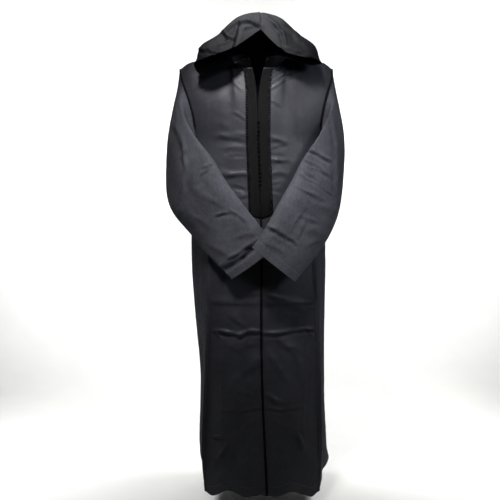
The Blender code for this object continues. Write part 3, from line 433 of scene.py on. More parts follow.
# Creases in millimetres, rows of from_x, from_z, to_x, to_z, bow, wide, high and dip: from and
# to = ends as seen from the front, bow = how far the middle bends up, wide = half width, high =
# height before CREASE_RISE (a minus sign is a trough), dip = share of the height that the cloth
# sinks just below a ridge
FRONT_CREASES = (
    (-128, -270, -34, -265, 3, 10, 1.6, 0.6),
    (-99, -320, -34, -324, 0, 8, -1.4, 0.3),
    (-137, -382, -34, -388, -3, 12, 1.9, 0.6),
    (-106, -429, -34, -432, 0, 8, -1.2, 0.3),
    (-131, -466, -34, -478, 3, 12, 1.1, 0.5),
    (40, -277, 84, -286, 3, 9, 1.5, 0.6),
    (40, -327, 81, -333, 0, 6, -1.2, 0.3),
    (40, -348, 87, -342, 3, 8, 1.4, 0.6),
    (40, -392, 84, -382, 3, 9, 1.2, 0.5),
    (40, -438, 75, -444, 0, 8, -0.9, 0.3),
    (34, -76, 96, -31, 3, 4, 1.2, 0.9),
    (34, -92, 105, -42, 3, 4, 1.4, 0.9),
    (34, -108, 111, -56, 3, 4, 1.2, 0.9),
    (34, -126, 120, -72, 3, 5, 1.1, 0.7),
    (-156, -101, -157, -282, 0, 4, 0.4, 0.5),
    (141, -124, 141, -217, 0, 4, 0.4, 0.5),
    (-194, -110, -159, -104, 0, 4, 0.5, 0.6),
    (-90, -83, -56, -101, 0, 6, 0.7, 0.5),
    (-212, -790, 0, -787, 6, 12, 1.6, 0.6),
    (19, -777, 132, -792, 3, 12, 1.8, 0.6),
    (-56, -797, -78, -847, 0, 12, 2.0, 0.2),
    (-132, -878, -56, -887, 3, 6, 4.4, 0.5),
    (-62, -889, 3, -873, 3, 6, 4.6, 0.5),
    (16, -880, 88, -876, -3, 6, 4.2, 0.5),
    (82, -877, 171, -873, 3, 5, 3.4, 0.5),
    (-138, -879, -113, -906, 0, 4, 1.6, 0.5),
    (-116, -877, -138, -911, 0, 4, 1.6, 0.5),
    (152, -865, 174, -895, 0, 4, 1.4, 0.5),
    (-9, -968, -47, -1010, 3, 12, 2.6, 0.5),
    (-47, -1010, -81, -1052, 3, 12, 2.0, 0.5),
    (-62, -1067, -18, -1078, 3, 9, 1.5, 0.4),
    (28, -937, 57, -978, 0, 10, 1.6, 0.4),
    (57, -978, 85, -1026, 0, 10, 1.5, 0.4),
    (25, -1074, 60, -1096, 3, 9, 2.4, 0.5),
    (-113, -1131, -56, -1127, 3, 4, 2.0, 0.9),
    (-56, -1127, 7, -1116, 0, 4, 2.4, 0.9),
    (25, -1119, 73, -1123, 3, 4, 2.4, 0.9),
    (73, -1123, 136, -1117, 0, 4, 1.8, 0.9),
    (-6, -1147, -62, -1218, 6, 14, 2.6, 0.5),
    (7, -1219, -44, -1258, 3, 9, 2.6, 0.6),
    (-31, -1264, -75, -1288, 3, 9, 1.4, 0.5),
    (-139, -1215, -110, -1215, 0, 4, 1.8, 0.7),
    (-97, -1236, -123, -1283, 0, 4, 2.4, 0.6),
    (126, -1204, 136, -1227, 0, 4, 3.0, 0.6),
    (136, -1227, 146, -1254, 0, 4, 2.4, 0.6),
    (110, -1187, 130, -1211, 0, 4, 1.2, 0.5),
    (-116, -894, -116, -1172, 0, 4, 0.9, 0.5),
    (155, -901, 143, -1222, 0, 4, 0.9, 0.5),
    (-103, -943, -139, -1009, 3, 12, 1.2, 0.5),
    (120, -942, 139, -1032, 3, 12, 1.0, 0.5),
    (-56, -928, -6, -915, 3, 9, 1.4, 0.4),
    (79, -922, 133, -937, 3, 9, 1.0, 0.4),
    (32, -1272, 101, -1256, 3, 12, 1.4, 0.4),
    (88, -1305, 152, -1286, 3, 12, 1.0, 0.4),
    (-152, -1322, -113, -1269, 3, 12, 1.0, 0.4),
    (-121, -268, -40, -281, 2, 6, 1.1, 0.8),
    (-87, -324, -37, -325, 1, 5, 1.1, 0.8),
    (-96, -392, -37, -384, 2, 6, 1.5, 0.8),
    (-71, -419, -34, -432, 1, 5, 1.0, 0.8),
    (-62, -457, -28, -453, 1, 5, 0.9, 0.8),
    (-71, -195, -40, -216, 1, 5, 0.9, 0.7),
    (-203, -119, -163, -110, 1, 4, 0.6, 0.8),
    (-83, -95, -55, -122, 1, 5, 0.7, 0.6),
    (40, -158, 71, -174, 1, 5, 0.9, 0.7),
    (40, -271, 84, -284, 1, 6, 0.9, 0.8),
    (40, -305, 74, -293, 1, 5, 1.0, 0.8),
    (40, -342, 74, -345, 1, 5, 1.0, 0.8),
    (40, -385, 68, -379, 1, 5, 0.9, 0.8),
    (41, -416, 68, -410, 1, 4, 0.7, 0.8),
    (41, -444, 59, -453, 1, 4, 0.7, 0.8),
    (-111, -305, -56, -302, 1, 5, 0.6, 0.8),
    (120, -189, 139, -296, 0, 9, 0.9, 0.3),
    (-139, -219, -80, -244, 2, 10, 0.6, 0.4),
    (22, -760, 84, -775, 1, 7, 1.6, 0.7),
    (-59, -763, -3, -757, 1, 7, 1.4, 0.7),
    (-130, -791, 0, -791, 0, 4, 0.7, 0.9),
    (31, -791, 174, -788, 0, 4, 0.7, 0.9),
    (-40, -1012, -3, -980, 1, 9, 2.0, 0.5),
    (32, -1085, 79, -1098, 1, 7, 1.8, 0.7),
    (-47, -1182, 0, -1149, 1, 9, 1.8, 0.5),
    (-47, -1269, 13, -1230, 2, 9, 1.8, 0.5),
    (32, -1149, 95, -1178, 2, 9, 1.6, 0.5),
    (-138, -1215, -113, -1212, 0, 4, 2.0, 0.9),
    (-119, -1275, -100, -1239, 0, 5, 2.2, 0.8),
    (130, -1201, 146, -1243, 0, 5, 2.6, 0.9),
    (139, -1194, 136, -1223, 0, 4, -1.6, 0.2),
    (-81, -832, -46, -857, 0, 7, 1.4, 0.5),
    (-93, -917, -56, -939, 2, 9, 1.2, 0.4),
    (63, -901, 106, -939, 2, 9, 1.2, 0.4),
)
SLEEVE_LEFT_CREASES = (
    (-263, -229, -226, -311, 3, 10, 2.7, 0.7),
    (-226, -311, -223, -388, 0, 9, 2.7, 0.7),
    (-223, -388, -249, -508, -3, 9, 2.2, 0.7),
    (-169, -386, -151, -364, 0, 4, 1.4, 0.7),
    (-163, -398, -135, -434, 3, 13, 0.9, 0.4),
    (-204, -422, -160, -465, 3, 15, 1.3, 0.4),
    (-126, -511, -86, -502, 3, 5, 1.4, 0.7),
    (-180, -534, -130, -558, 3, 13, 0.9, 0.4),
    (-71, -584, -25, -566, 3, 7, 1.4, 0.6),
    (-115, -669, -55, -624, 3, 6, 3.6, 0.9),
    (-55, -624, -3, -587, 3, 7, 4.0, 0.9),
    (-99, -681, -6, -614, 0, 6, -2.7, 0.2),
    (-143, -608, -92, -637, 3, 10, 1.3, 0.4),
    (-219, -510, -187, -566, 3, 13, 1.3, 0.4),
    (-232, -300, -225, -358, 0, 8, 3.2, 0.7),
    (-225, -358, -246, -466, -2, 8, 3.0, 0.7),
    (-173, -367, -145, -355, 0, 4, 1.8, 0.8),
    (-191, -413, -157, -367, 1, 5, 1.6, 0.7),
    (-130, -512, -102, -503, 0, 4, 1.2, 0.8),
    (-87, -493, -40, -527, 1, 5, 1.6, 0.7),
    (-37, -487, 3, -546, 0, 5, 1.8, 0.6),
    (-115, -677, -50, -636, 1, 6, 3.4, 0.9),
    (-50, -636, -3, -596, 1, 6, 3.2, 0.9),
    (-164, -453, -111, -481, 1, 8, 1.0, 0.5),
    (-204, -512, -161, -534, 1, 8, 1.2, 0.5),
    (-264, -160, -252, -227, 0, 8, 1.6, 0.5),
)
SLEEVE_RIGHT_CREASES = (
    (155, -308, 220, -342, 3, 4, 2.2, 0.8),
    (168, -367, 227, -395, 3, 4, 2.0, 0.8),
    (139, -434, 203, -465, 3, 5, 1.5, 0.7),
    (231, -208, 247, -298, 3, 6, 1.8, 0.6),
    (247, -298, 248, -445, 0, 6, 1.8, 0.6),
    (128, -379, 158, -416, 3, 10, 1.3, 0.4),
    (114, -464, 164, -501, 3, 10, 1.3, 0.5),
    (184, -480, 238, -504, 3, 13, 1.3, 0.4),
    (38, -544, 80, -565, 3, 8, 2.9, 0.7),
    (47, -583, 83, -604, 0, 10, -2.0, 0.3),
    (93, -572, 117, -596, 0, 5, 2.4, 0.8),
    (120, -575, 139, -531, 0, 6, 1.5, 0.5),
    (29, -594, 83, -625, 3, 7, 1.3, 0.5),
    (145, -549, 211, -577, 3, 13, 1.5, 0.4),
    (158, -598, 198, -589, 3, 10, 1.3, 0.4),
    (158, -313, 189, -325, 0, 4, 1.8, 0.8),
    (189, -325, 226, -343, 0, 5, 1.8, 0.8),
    (146, -340, 220, -386, 1, 4, 1.8, 0.9),
    (134, -364, 190, -410, 1, 5, 1.6, 0.8),
    (128, -386, 236, -450, 1, 3, 1.2, 0.9),
    (119, -422, 190, -465, 1, 5, 1.4, 0.8),
    (28, -542, 68, -563, 1, 5, 2.0, 0.8),
    (68, -563, 99, -582, 0, 5, 1.8, 0.8),
    (153, -465, 92, -563, 0, 5, 1.2, 0.4),
    (204, -237, 228, -282, 1, 6, 1.2, 0.5),
    (129, -511, 184, -533, 1, 6, 1.2, 0.6),
    (238, -358, 251, -434, 0, 6, 1.4, 0.5),
)
GORE_CREASES = (
    (-203, -745, -168, -833, 0, 9, 2.4, 0.7),
    (-168, -833, -164, -878, 0, 9, 2.0, 0.6),
    (-201, -863, -176, -860, 0, 9, 2.0, 0.4),
    (201, -789, 225, -868, 0, 9, 1.6, 0.5),
    (222, -1162, 238, -1299, 0, 9, 1.6, 0.5),
)
HOOD_CREASES = (
    (8, 74, -106, 57, 23, 6, 4.4, 0.5),
    (-62, 86, -71, 49, 0, 5, 3.2, 0.7),
    (-71, 49, -81, 6, 0, 5, 2.6, 0.7),
    (-106, 55, -79, 32, 0, 4, 2.6, 0.6),
    (-79, 32, -128, 11, 0, 4, 3.0, 0.6),
    (-128, 11, -156, 3, 0, 4, 2.0, 0.6),
    (-137, 15, -96, 43, 0, 10, -6.5, 0.0),
    (-190, 5, -156, 0, 0, 5, 2.4, 0.7),
    (-156, 0, -124, -8, 0, 4, 2.2, 0.8),
    (9, 116, 10, 76, 0, 3, -2.4, 0.0),
    (44, 89, 78, 55, 1, 5, 3.8, 0.8),
    (78, 55, 87, 18, 0, 5, 2.6, 0.7),
    (56, 6, 81, 3, 0, 4, 2.0, 0.7),
    (53, 101, 122, 49, 2, 7, 4.0, 0.6),
    (91, 6, 137, -6, 1, 5, 2.4, 0.7),
    (137, -6, 181, -31, 1, 5, 2.2, 0.7),
    (19, 104, 50, 79, 1, 6, 1.8, 0.6),
    (119, 37, 159, 6, 1, 7, 2.0, 0.5),
    (-165, -25, -103, -15, 1, 6, 1.6, 0.6),
    (-46, 67, -18, 73, 1, 5, 1.6, 0.6),
)
BACK_CREASES = (
    (-118, -892, -14, -872, 6, 13, 2.8, 0.7),
    (22, -868, 134, -886, -4, 12, 3.0, 0.7),
    (-110, -1126, 4, -1138, 5, 10, 2.0, 0.7),
    (40, -1124, 128, -1112, 4, 9, 1.8, 0.7),
    (-150, -330, -60, -372, 6, 15, 2.6, 0.5),
    (62, -376, 152, -322, 6, 15, 2.6, 0.5),
    (-120, -470, -20, -492, 5, 16, 2.4, 0.5),
    (20, -505, 126, -476, 5, 16, 2.2, 0.5),
    (-84, -612, 40, -622, 5, 18, 2.0, 0.5),
    (-60, -640, -96, -820, 0, 17, 2.6, 0.4),
    (58, -650, 92, -836, 0, 17, 2.4, 0.4),
    (-20, -930, -62, -1080, 0, 18, 2.2, 0.4),
    (40, -946, 74, -1060, 0, 17, 2.0, 0.4),
    (-108, -900, -108, -1200, 0, 5, 0.9, 0.5),
    (112, -900, 110, -1210, 0, 5, 0.9, 0.5),
    (-66, -1190, -104, -1262, 3, 9, 2.2, 0.6),
    (82, -1176, 106, -1240, 0, 8, 2.0, 0.6),
    (-90, -110, -150, -190, 6, 14, 2.0, 0.4),
    (92, -112, 152, -196, 6, 14, 2.0, 0.4),
)


# Uneven hem: x = place, wide = half width, lift = how far the edge rises (a minus sign: hangs
# lower), all in millimetres, and sight = -1 on the front or 1 on the back. The waves set in at
# HEM_CALM below the shoulder and are full at HEM_FULL, and fade towards the sides in HEM_SIDE
HEM_CALM = 1.230
HEM_FULL = -FLOOR - 0.03
HEM_SIDE = 0.08
HEM_COLUMNS = ("x", "wide", "lift", "sight")
HEM_WAVES = (
    (-96, 30, 17, -1),
    (99, 34, 15, -1),
    (-148, 15, -6, -1),
    (172, 14, -8, -1),
    (-70, 38, 11, 1),
    (86, 40, 12, 1),
    (-150, 22, -6, 1),
)


def table(columns, rows):
    """Rows of numbers as one array a named column."""
    return dict(zip(columns, np.array(rows, float).T))


def spline(knots, values, at):
    """Smooth curve through the knots: cubic pieces with slopes from the neighbouring knots."""
    knots = np.asarray(knots, float)
    values = np.asarray(values, float)
    at = np.asarray(at, float)
    slopes = np.gradient(values, knots, axis=0)
    cell = np.clip(np.searchsorted(knots, at) - 1, 0, len(knots) - 2)
    step = knots[cell + 1] - knots[cell]
    s = (at - knots[cell]) / step
    extra = (1,) * (values.ndim - 1)
    s = s.reshape(s.shape + extra)
    step = step.reshape(step.shape + extra)
    start = values[cell] * (1 + 2 * s) * (1 - s) ** 2 + slopes[cell] * step * s * (1 - s) ** 2
    end = values[cell + 1] * s * s * (3 - 2 * s) - slopes[cell + 1] * step * s * s * (1 - s)
    return start + end


def unit(vectors):
    """Vectors scaled to length one."""
    return vectors / np.maximum(np.linalg.norm(vectors, axis=-1, keepdims=True), 1e-12)


def stack(x, y, z):
    """Points from three arrays that broadcast together."""
    return np.stack(np.broadcast_arrays(x, y, z), axis=-1)


def half_ring(z, side):
    """One side of the trunk from centre front to centre back, a row for each level z."""
    section = table(SECTION_COLUMNS, SECTIONS)
    at = {name: spline(section["z"], section[name], z)[:, None] for name in SECTION_COLUMNS}
    letter = "r" if side > 0 else "l"
    mid_x, mid_y, seam_y = at["mid_x"], at["mid_y"], at["seam_y"]
    seam_x, side_x = at["seam_" + letter], at["side_" + letter]
    side_y, back_y = at["side_y"], at["back_y"]
    up = np.clip((z[:, None] - z.min()) / (z.max() - z.min()), 0, 1)
    back_share, set_in = (
        low + (high - low) * up ** 2 for low, high in (BACK_SEAM_SHARE, BACK_SEAM_SET_IN)
    )
    back_x = side_x * back_share
    back_seam_y = back_y - set_in
    q = np.linspace(0, 1, FRONT_COLS + 1)[None, :]
    front = stack(mid_x + (seam_x - mid_x) * q, mid_y + (seam_y - mid_y) * q ** FRONT_ROUNDING, z[:, None])
    q = np.linspace(0, 1, GORE_COLS // 2 + 1)[None, 1:]
    turn = q * np.pi / 2
    tuck = GORE_FOLD * np.sin(np.pi * q) ** 2 * (1 - up) * side
    forward = stack(
        seam_x + (side_x - seam_x) * np.sin(turn) - tuck,
        seam_y + (side_y - seam_y) * q,
        z[:, None],
    )
    behind = stack(
        back_x + (side_x - back_x) * np.cos(turn),
        side_y + (back_seam_y - side_y) * np.sin(turn),
        z[:, None],
    )
    q = np.linspace(0, 1, BACK_COLS + 1)[None, 1:]
    back = stack(back_x * (1 - q), back_y - set_in * (1 - q) ** 2, z[:, None])
    return shape_hem(hang_back(np.concatenate([front, forward, behind, back], axis=1)))


def hang_back(grid):
    """The back moved out and in by soft hanging waves, a cosine across it that grows to the hem."""
    x, y, z = grid[..., 0], grid[..., 1], grid[..., 2]
    low = np.clip((ROW_LEVELS[-1] - z) / (ROW_LEVELS[-1] - ROW_LEVELS[0]), 0, 1)
    wave = BACK_FOLD * low * np.cos(2 * np.pi * x / BACK_FOLD_WIDTH + BACK_FOLD_PHASE)
    return stack(x, y + wave * np.clip((y - BACK_FOLD_FROM) / BACK_FOLD_RUN, 0, 1), z)


def shape_hem(grid):
    """The lowest rows lifted towards the back and waved, outward by w and upward by 0.8 w.

    w = HEM_WAVE sin(46 x + 0.9) cos(17 x - 0.5).
    """
    x, y, z = grid[..., 0], grid[..., 1], grid[..., 2]
    near = np.clip(1 - (z - ROW_LEVELS[0]) / HEM_SOFT, 0, 1) ** 2
    lift = HEM_RISE * np.clip((y - HEM_RISE_FROM) / HEM_RISE_RUN, 0, 1)
    wave = HEM_WAVE * np.sin(x * 46.0 + 0.9) * np.cos(x * 17.0 - 0.5)
    return stack(x, y - near * wave * np.sign(y), z + near * (lift + wave * 0.8))


def top_edge(neck, side, cols):
    """Neckline and shoulder seam as end points, reach and drop for each column."""
    q = np.linspace(0, 1, cols + 1)
    rows = []
    for part, use in ((neck, q <= NECK_SHARE + 1e-9), (SHOULDER, q > NECK_SHARE + 1e-9)):
        knots = np.array(part, float)
        rows.append(spline(knots[:, 0], knots[:, 1:], q[use]))
    edge = np.concatenate(rows)
    edge[:, 0] = edge[:, 0] * side - SHOULDER_SHIFT * np.clip((q - NECK_SHARE) / (1 - NECK_SHARE), 0, 1)
    return edge[:, :3], edge[:, 3], edge[:, 4]


def rise(bottom, neck, side, forward):
    """Rows of the chest or back above the underarm, as curves from the underarm row to the top.

    Each column is a cubic curve b0 (1-t)^3 + 3 b1 t (1-t)^2 + 3 b2 t^2 (1-t) + b3 t^3.
    """
    top, reach, drop = top_edge(neck, side, bottom.shape[0] - 1)
    q = np.linspace(0, 1, bottom.shape[0])
    t = np.linspace(0, 1, HIGH_ROWS + 1)[1:, None, None]
    height = top[:, 2] - bottom[:, 2]
    first = bottom + stack(0 * q, forward * ARMHOLE_BOW * q ** 3, height * RISE_SHARE)
    lean = np.where(q < NECK_SHARE, bottom[:, 0] + (top[:, 0] - bottom[:, 0]) * q / NECK_SHARE, top[:, 0])
    second = stack(lean, top[:, 1] + forward * reach, top[:, 2] - drop)
    return (
        bottom * (1 - t) ** 3 + 3 * first * t * (1 - t) ** 2 + 3 * second * t ** 2 * (1 - t) + top * t ** 3
    )


def grid_normals(grid, wrap=False):
    """Unit normals of a grid from its neighbours' differences. wrap closes the columns."""
    across = np.roll(grid, -1, 1) - np.roll(grid, 1, 1) if wrap else np.gradient(grid, axis=1)
    return unit(np.cross(np.gradient(grid, axis=0), across))


def facing(normals, grid, centre):
    """Normals turned so that on the whole they point away from the centre."""
    away = np.sum(normals * (grid - np.asarray(centre)))
    return normals if away > 0 else -normals


def open_slit(grid):
    """The front edge of a side gore drawn back from the front panel below the top of the slit."""
    grid = grid.copy()
    amount = SLIT_OPEN * np.clip((SLIT_TOP - grid[:, 0, 2]) / (SLIT_TOP - ROW_LEVELS[0]), 0, 1)
    grid[:, 0] += unit(grid[:, 1] - grid[:, 0]) * amount[:, None]
    return grid


def trunk():
    """Coarse grids of the body of the robe, with the normals along its armholes."""
    z = np.array(ROW_LEVELS, float)
    right, left = half_ring(z, 1), half_ring(z, -1)
    ring = np.concatenate([right, left[:, -2:0:-1]], axis=1)
    ring_n = facing(grid_normals(ring, True), ring, TRUNK_MIDDLE)
    half = right.shape[1]
    ring_left = np.concatenate([ring_n[:, :1], ring_n[:, :half - 2:-1]], axis=1)
    seam, back_seam, level = FRONT_COLS, FRONT_COLS + GORE_COLS, len(z) - 1
    parts = {}
    for name, side, low, low_n in (("right", 1, right, ring_n[:, :half]), ("left", -1, left, ring_left)):
        front_high = rise(low[-1, :seam + 1], FRONT_NECK, side, -1.0)
        back_high = rise(low[-1, back_seam:][::-1], BACK_NECK, side, 1.0)[:, ::-1]
        front = np.concatenate([low[:, :seam + 1], front_high])
        back = np.concatenate([low[:, back_seam:], back_high])
        front_n = facing(grid_normals(front), front, TRUNK_MIDDLE)
        back_n = facing(grid_normals(back), back, TRUNK_MIDDLE)
        front_n[level] = unit(front_n[level] + low_n[-1, :seam + 1])
        back_n[level] = unit(back_n[level] + low_n[-1, back_seam:])
        front_n[-1, -1] = unit(front_n[-1, -1] + back_n[-1, 0])
        parts["front_" + name] = (front, front_n)
        parts["gore_" + name] = (low[:, seam:back_seam + 1], low_n[:, seam:back_seam + 1])
        parts["back_" + name] = (back, back_n)
    return parts


def armhole(parts, name):
    """Ring of the armhole from the shoulder tip down the front and up the back, with normals."""
    levels = len(ROW_LEVELS)
    ring = []
    for k in (0, 1):
        front = parts["front_" + name][k][levels - 1:, -1][::-1]
        under = parts["gore_" + name][k][-1, 1:-1]
        back = parts["back_" + name][k][levels - 1:-1, 0]
        ring.append(np.concatenate([front, under, back]))
    return ring


def body_radius(points):
    """Distance of the robe's outside from its middle line, towards each point, and the point's own."""
    z = np.array(ROW_LEVELS, float)
    ring = np.concatenate([half_ring(z, 1), half_ring(z, -1)[:, -2:0:-1]], axis=1)
    angle = np.arctan2(ring[..., 1], ring[..., 0])
    far = np.hypot(ring[..., 0], ring[..., 1])
    turn = np.linspace(-np.pi, np.pi, OUTLINE_STEPS + 1)
    rows = []
    for row in range(len(z)):
        order = np.argsort(angle[row])
        rows.append(np.interp(turn, angle[row][order], far[row][order], period=2 * np.pi))
    rows = np.array(rows)
    own = np.hypot(points[..., 0], points[..., 1])
    at_turn = (np.arctan2(points[..., 1], points[..., 0]) + np.pi) / (2 * np.pi) * OUTLINE_STEPS
    at_level = np.interp(points[..., 2], z, np.arange(len(z)))
    i = np.clip(at_level.astype(int), 0, len(z) - 2)
    j = np.clip(at_turn.astype(int), 0, OUTLINE_STEPS - 1)
    u, v = at_level - i, at_turn - j
    wall = (
        rows[i, j] * (1 - u) * (1 - v) + rows[i + 1, j] * u * (1 - v)
        + rows[i, j + 1] * (1 - u) * v + rows[i + 1, j + 1] * u * v
    )
    return wall, own


def rest_on_body(points, room, soft):
    """Points inside the robe or too near it moved straight out to stand BODY_CLEARANCE off it.

    With d = distance outside the clearance, the new distance is soft * log(1 + exp(d / soft)), so
    that near layers keep their order. room is added to the clearance below the underarm. Above
    the underarm the underarm ring is widened by SHOULDER_GROWTH towards the shoulder.
    """
    wall, own = body_radius(points)
    up = np.clip((points[..., 2] - ROW_LEVELS[-1]) / (SHOULDER[-1][3] - ROW_LEVELS[-1]), 0, 1)
    wall = wall * (1 + SHOULDER_GROWTH * np.sin(np.clip(SHOULDER_SPEED * up, 0, 1) * np.pi / 2))
    ramp = np.interp(np.arange(len(points)), (0, 2 * SLEEVE_STEPS), (UNDERARM_CLEARANCE, 1))
    low = np.clip((ROOM_FROM - points[..., 2]) / (ROOM_FROM - ROOM_FULL), 0, 1)
    stand = wall + BODY_CLEARANCE * ramp[:, None] + room * low
    need = stand + soft * np.logaddexp(0, (own - stand) / soft)
    scale = (need / np.maximum(own, 1e-6))[..., None]
    return points * np.concatenate([scale, scale, np.ones_like(scale)], axis=-1)


def soften(grid, times, room):
    """A sleeve's rings evened out, each round of it followed by a push off the body."""
    for _ in range(times):
        grid = even_out(grid, 1, True)
        grid[1:] = rest_on_body(grid[1:], room, HARD)
    return grid


def stretch_web(loops, turns, rows, side):
    """Sleeve rings drawn out to the web's edge, less the further round the sleeve from it.

    The share falls off in a straight line over WEB_REACH half turns towards the shoulder tip and
    towards the underarm, so that the cloth is flat on both sides of the edge.
    """
    levels = np.arange(len(loops)) / SLEEVE_STEPS
    table_rows = np.array(rows, float)
    at = {
        column: np.interp(levels, np.arange(len(rows)), table_rows[:, place])
        for place, column in enumerate(WEB_COLUMNS)
    }
    edge = stack(side * at["x"], at["y"], at["z"])
    beside = turns - at["turn"][:, None]
    share = 1 - np.abs(beside) / np.where(beside < 0, *WEB_REACH)
    share = np.clip(share, 0, 1) * at["share"][:, None]
    nearest = np.argmin(np.abs(beside), axis=1)
    pull = edge - loops[np.arange(len(loops)), nearest]
    return loops + pull[:, None] * share[..., None]


def sleeve(parts, name, rows, side):
    """Grid and normals of a sleeve from the armhole ring to the cuff."""
    ring, ring_n = armhole(parts, name)
    count = len(ring)
    section = np.array(rows, float)
    place = np.arange(len(section), dtype=float)
    fine = np.linspace(0, len(section) - 1, SLEEVE_STEPS * (len(section) - 1) + 1)
    at = dict(zip(SLEEVE_COLUMNS, spline(place, section, fine).T))
    outer = stack(side * at["o_x"], at["o_y"], at["o_z"])
    inner = stack(side * at["i_x"], at["i_y"], at["i_z"])
    centre, major = (outer + inner) / 2, (outer - inner) / 2
    ahead = np.array([0.0, -1.0, 0.0])
    along = unit(major) * np.sum(unit(major) * ahead, axis=-1, keepdims=True)
    minor = unit(ahead - along) * at["deep"][:, None]
    corners = np.array([0, HIGH_ROWS, HIGH_ROWS + GORE_COLS / 2, HIGH_ROWS + GORE_COLS, count])
    twist = np.clip(np.arange(len(fine)) / (TWIST_RINGS * SLEEVE_STEPS), 0, 1)[:, None]
    corner_turns = np.array(SLEEVE_TURN_TOP) * (1 - twist) + np.array(SLEEVE_TURN_LOW) * twist
    turn = np.array([np.interp(np.arange(count), corners, row) for row in corner_turns]) * np.pi
    fade = np.interp(np.arange(len(fine)), np.array(ROOM_SECTIONS) * SLEEVE_STEPS, (1, 0))
    room = SLEEVE_ROOM * (0.5 + 0.5 * np.cos(turn)) * fade[:, None]
    loops = (
        centre[:, None] + major[:, None] * np.cos(turn)[..., None]
        + minor[:, None] * np.sin(turn)[..., None]
    )
    loops = stretch_web(loops, turn / np.pi, WEB_LEFT if side < 0 else WEB_RIGHT, side)
    grid = np.concatenate([ring[None], rest_on_body(loops, room, LAYER_SOFTNESS)])
    grid = soften(grid, SLEEVE_SMOOTHING, room)
    normals = grid_normals(grid, True)
    outward = grid - grid.mean(axis=1, keepdims=True)
    if np.sum(normals * outward) < 0:
        normals = -normals
    shared = unit(ring_n + normals[0])
    normals[0] = unit(2 * shared + np.roll(shared, 1, axis=0) + np.roll(shared, -1, axis=0))
    return grid, normals


def neckline(parts, name):
    """Neckline of one side from the centre front round to the centre back."""
    front = parts["front_" + name][0][-1, :NECK_COLS + 1]
    back = parts["back_" + name][0][-1, ::-1][:NECK_COLS][::-1]
    return np.concatenate([front, back])


def hood_grid(parts, name, rows, side):
    """Grid of one half of the hood, rows from the neckline to the rim, columns front to back."""
    neck = neckline(parts, name) + np.array([0, 0, HOOD_SEAM_LIFT])
    net = np.array(rows, float).reshape(len(rows), 4, 3) * np.array([side, 1, 1])
    net = np.concatenate([neck[:, None], net], axis=1)
    place = np.arange(net.shape[0], dtype=float)
    fine = np.linspace(0, net.shape[0] - 1, HOOD_STEPS * (net.shape[0] - 1) + 1)
    wide = spline(place, net, fine)
    wide[:, 0] = np.stack([np.interp(fine, place, neck[:, k]) for k in range(3)], axis=-1)
    up = np.arange(net.shape[1], dtype=float)
    fine_up = np.linspace(0, net.shape[1] - 1, HOOD_STEPS * (net.shape[1] - 1) + 1)
    return spline(up, wide.transpose(1, 0, 2), fine_up)


def hood(parts):
    """Coarse grids of the right and left halves of the hood, alike along the centre seam."""
    right = hood_grid(parts, "right", HOOD_RIGHT, 1)
    left = hood_grid(parts, "left", HOOD_LEFT, -1)
    right[:, -1] = (right[:, -1] + left[:, -1]) / 2
    both = np.concatenate([right, left[:, -2::-1]], axis=1)
    for _ in range(HOOD_SMOOTHING):
        beside = both[:, :-2] + both[:, 2:]
        both[1:-1, 1:-1] = both[1:-1, 1:-1] / 2 + (beside[1:-1] + both[:-2, 1:-1] + both[2:, 1:-1]) / 8
    cut = right.shape[1]
    return both[:, :cut], both[:, cut - 1:][:, ::-1]


def even_places(length, cell):
    """Places along a length: near even steps of the cell, with closer ones beside both ends."""
    places = np.linspace(0, length, max(2, int(round(length / cell))) + 1)
    near = np.array(EDGE_STEPS)
    return np.concatenate([places[:1], near, places[1:-1], length - near[::-1], places[-1:]])


def run_length(grid):
    """Mean length along the rows' direction from the first row to each row."""
    step = np.linalg.norm(np.diff(grid, axis=0), axis=-1).mean(axis=1)
    return np.concatenate([[0], np.cumsum(step)])


def refine(grid, wrap=False):
    """The smooth surface through a coarse grid, at steps of CELL both ways.

    It is a cubic curve along each column and then along each row. wrap closes the columns.
    """
    knots = run_length(grid)
    grid = spline(knots, grid, even_places(knots[-1], CELL))
    across = grid.transpose(1, 0, 2)
    if wrap:
        across = np.concatenate([across[-3:], across, across[:4]])
        knots = run_length(across)
        start, end = knots[3], knots[-4]
        places = np.linspace(start, end, int(round((end - start) / CELL)), endpoint=False)
    else:
        knots = run_length(across)
        places = even_places(knots[-1], CELL)
    return even_out(spline(knots, across, places).transpose(1, 0, 2), EVEN_TIMES, wrap)


def even_out(grid, times, wrap):
    """Each point moved halfway to the mean of its four neighbours, a number of times.

    The open edges are left alone. wrap closes the columns.
    """
    grid = grid.copy()
    for _ in range(times):
        if wrap:
            beside = np.roll(grid, 1, axis=1) + np.roll(grid, -1, axis=1)
            grid[1:-1] += ((beside[1:-1] + grid[:-2] + grid[2:]) / 4 - grid[1:-1]) / 2
        else:
            mean = (grid[1:-1, :-2] + grid[1:-1, 2:] + grid[:-2, 1:-1] + grid[2:, 1:-1]) / 4
            grid[1:-1, 1:-1] += (mean - grid[1:-1, 1:-1]) / 2
    return grid


def field(points, size, seed):
    """Smooth noise from -1 to 1: random values at the corners of cells, blended by s s (3 - 2 s).

    The values repeat after NOISE_CELLS cells, and 512 cells are added to keep the places positive.
    """
    lattice = np.random.default_rng(seed).uniform(-1, 1, (NOISE_CELLS,) * 3)
    place = points / np.array(size) + 512.0
    cell = np.floor(place).astype(int)
    s = place - cell
    s = s * s * (3 - 2 * s)
    total = np.zeros(points.shape[:-1])
    for corner in itertools.product((0, 1), repeat=3):
        share = np.prod(np.where(np.array(corner) == 1, s, 1 - s), axis=-1)
        i, j, k = np.moveaxis((cell + np.array(corner)) % NOISE_CELLS, -1, 0)
        total += share * lattice[i, j, k]
    return total


def bell(distance, wide):
    """The curve exp(-(distance / wide)^2): 1 at nought, fading to both sides."""
    return np.exp(-(distance / wide) ** 2)


def noise(points, kind):
    """A smooth noise given as height, cell and seed."""
    high, cell, seed = kind
    return high * field(points, cell, seed)


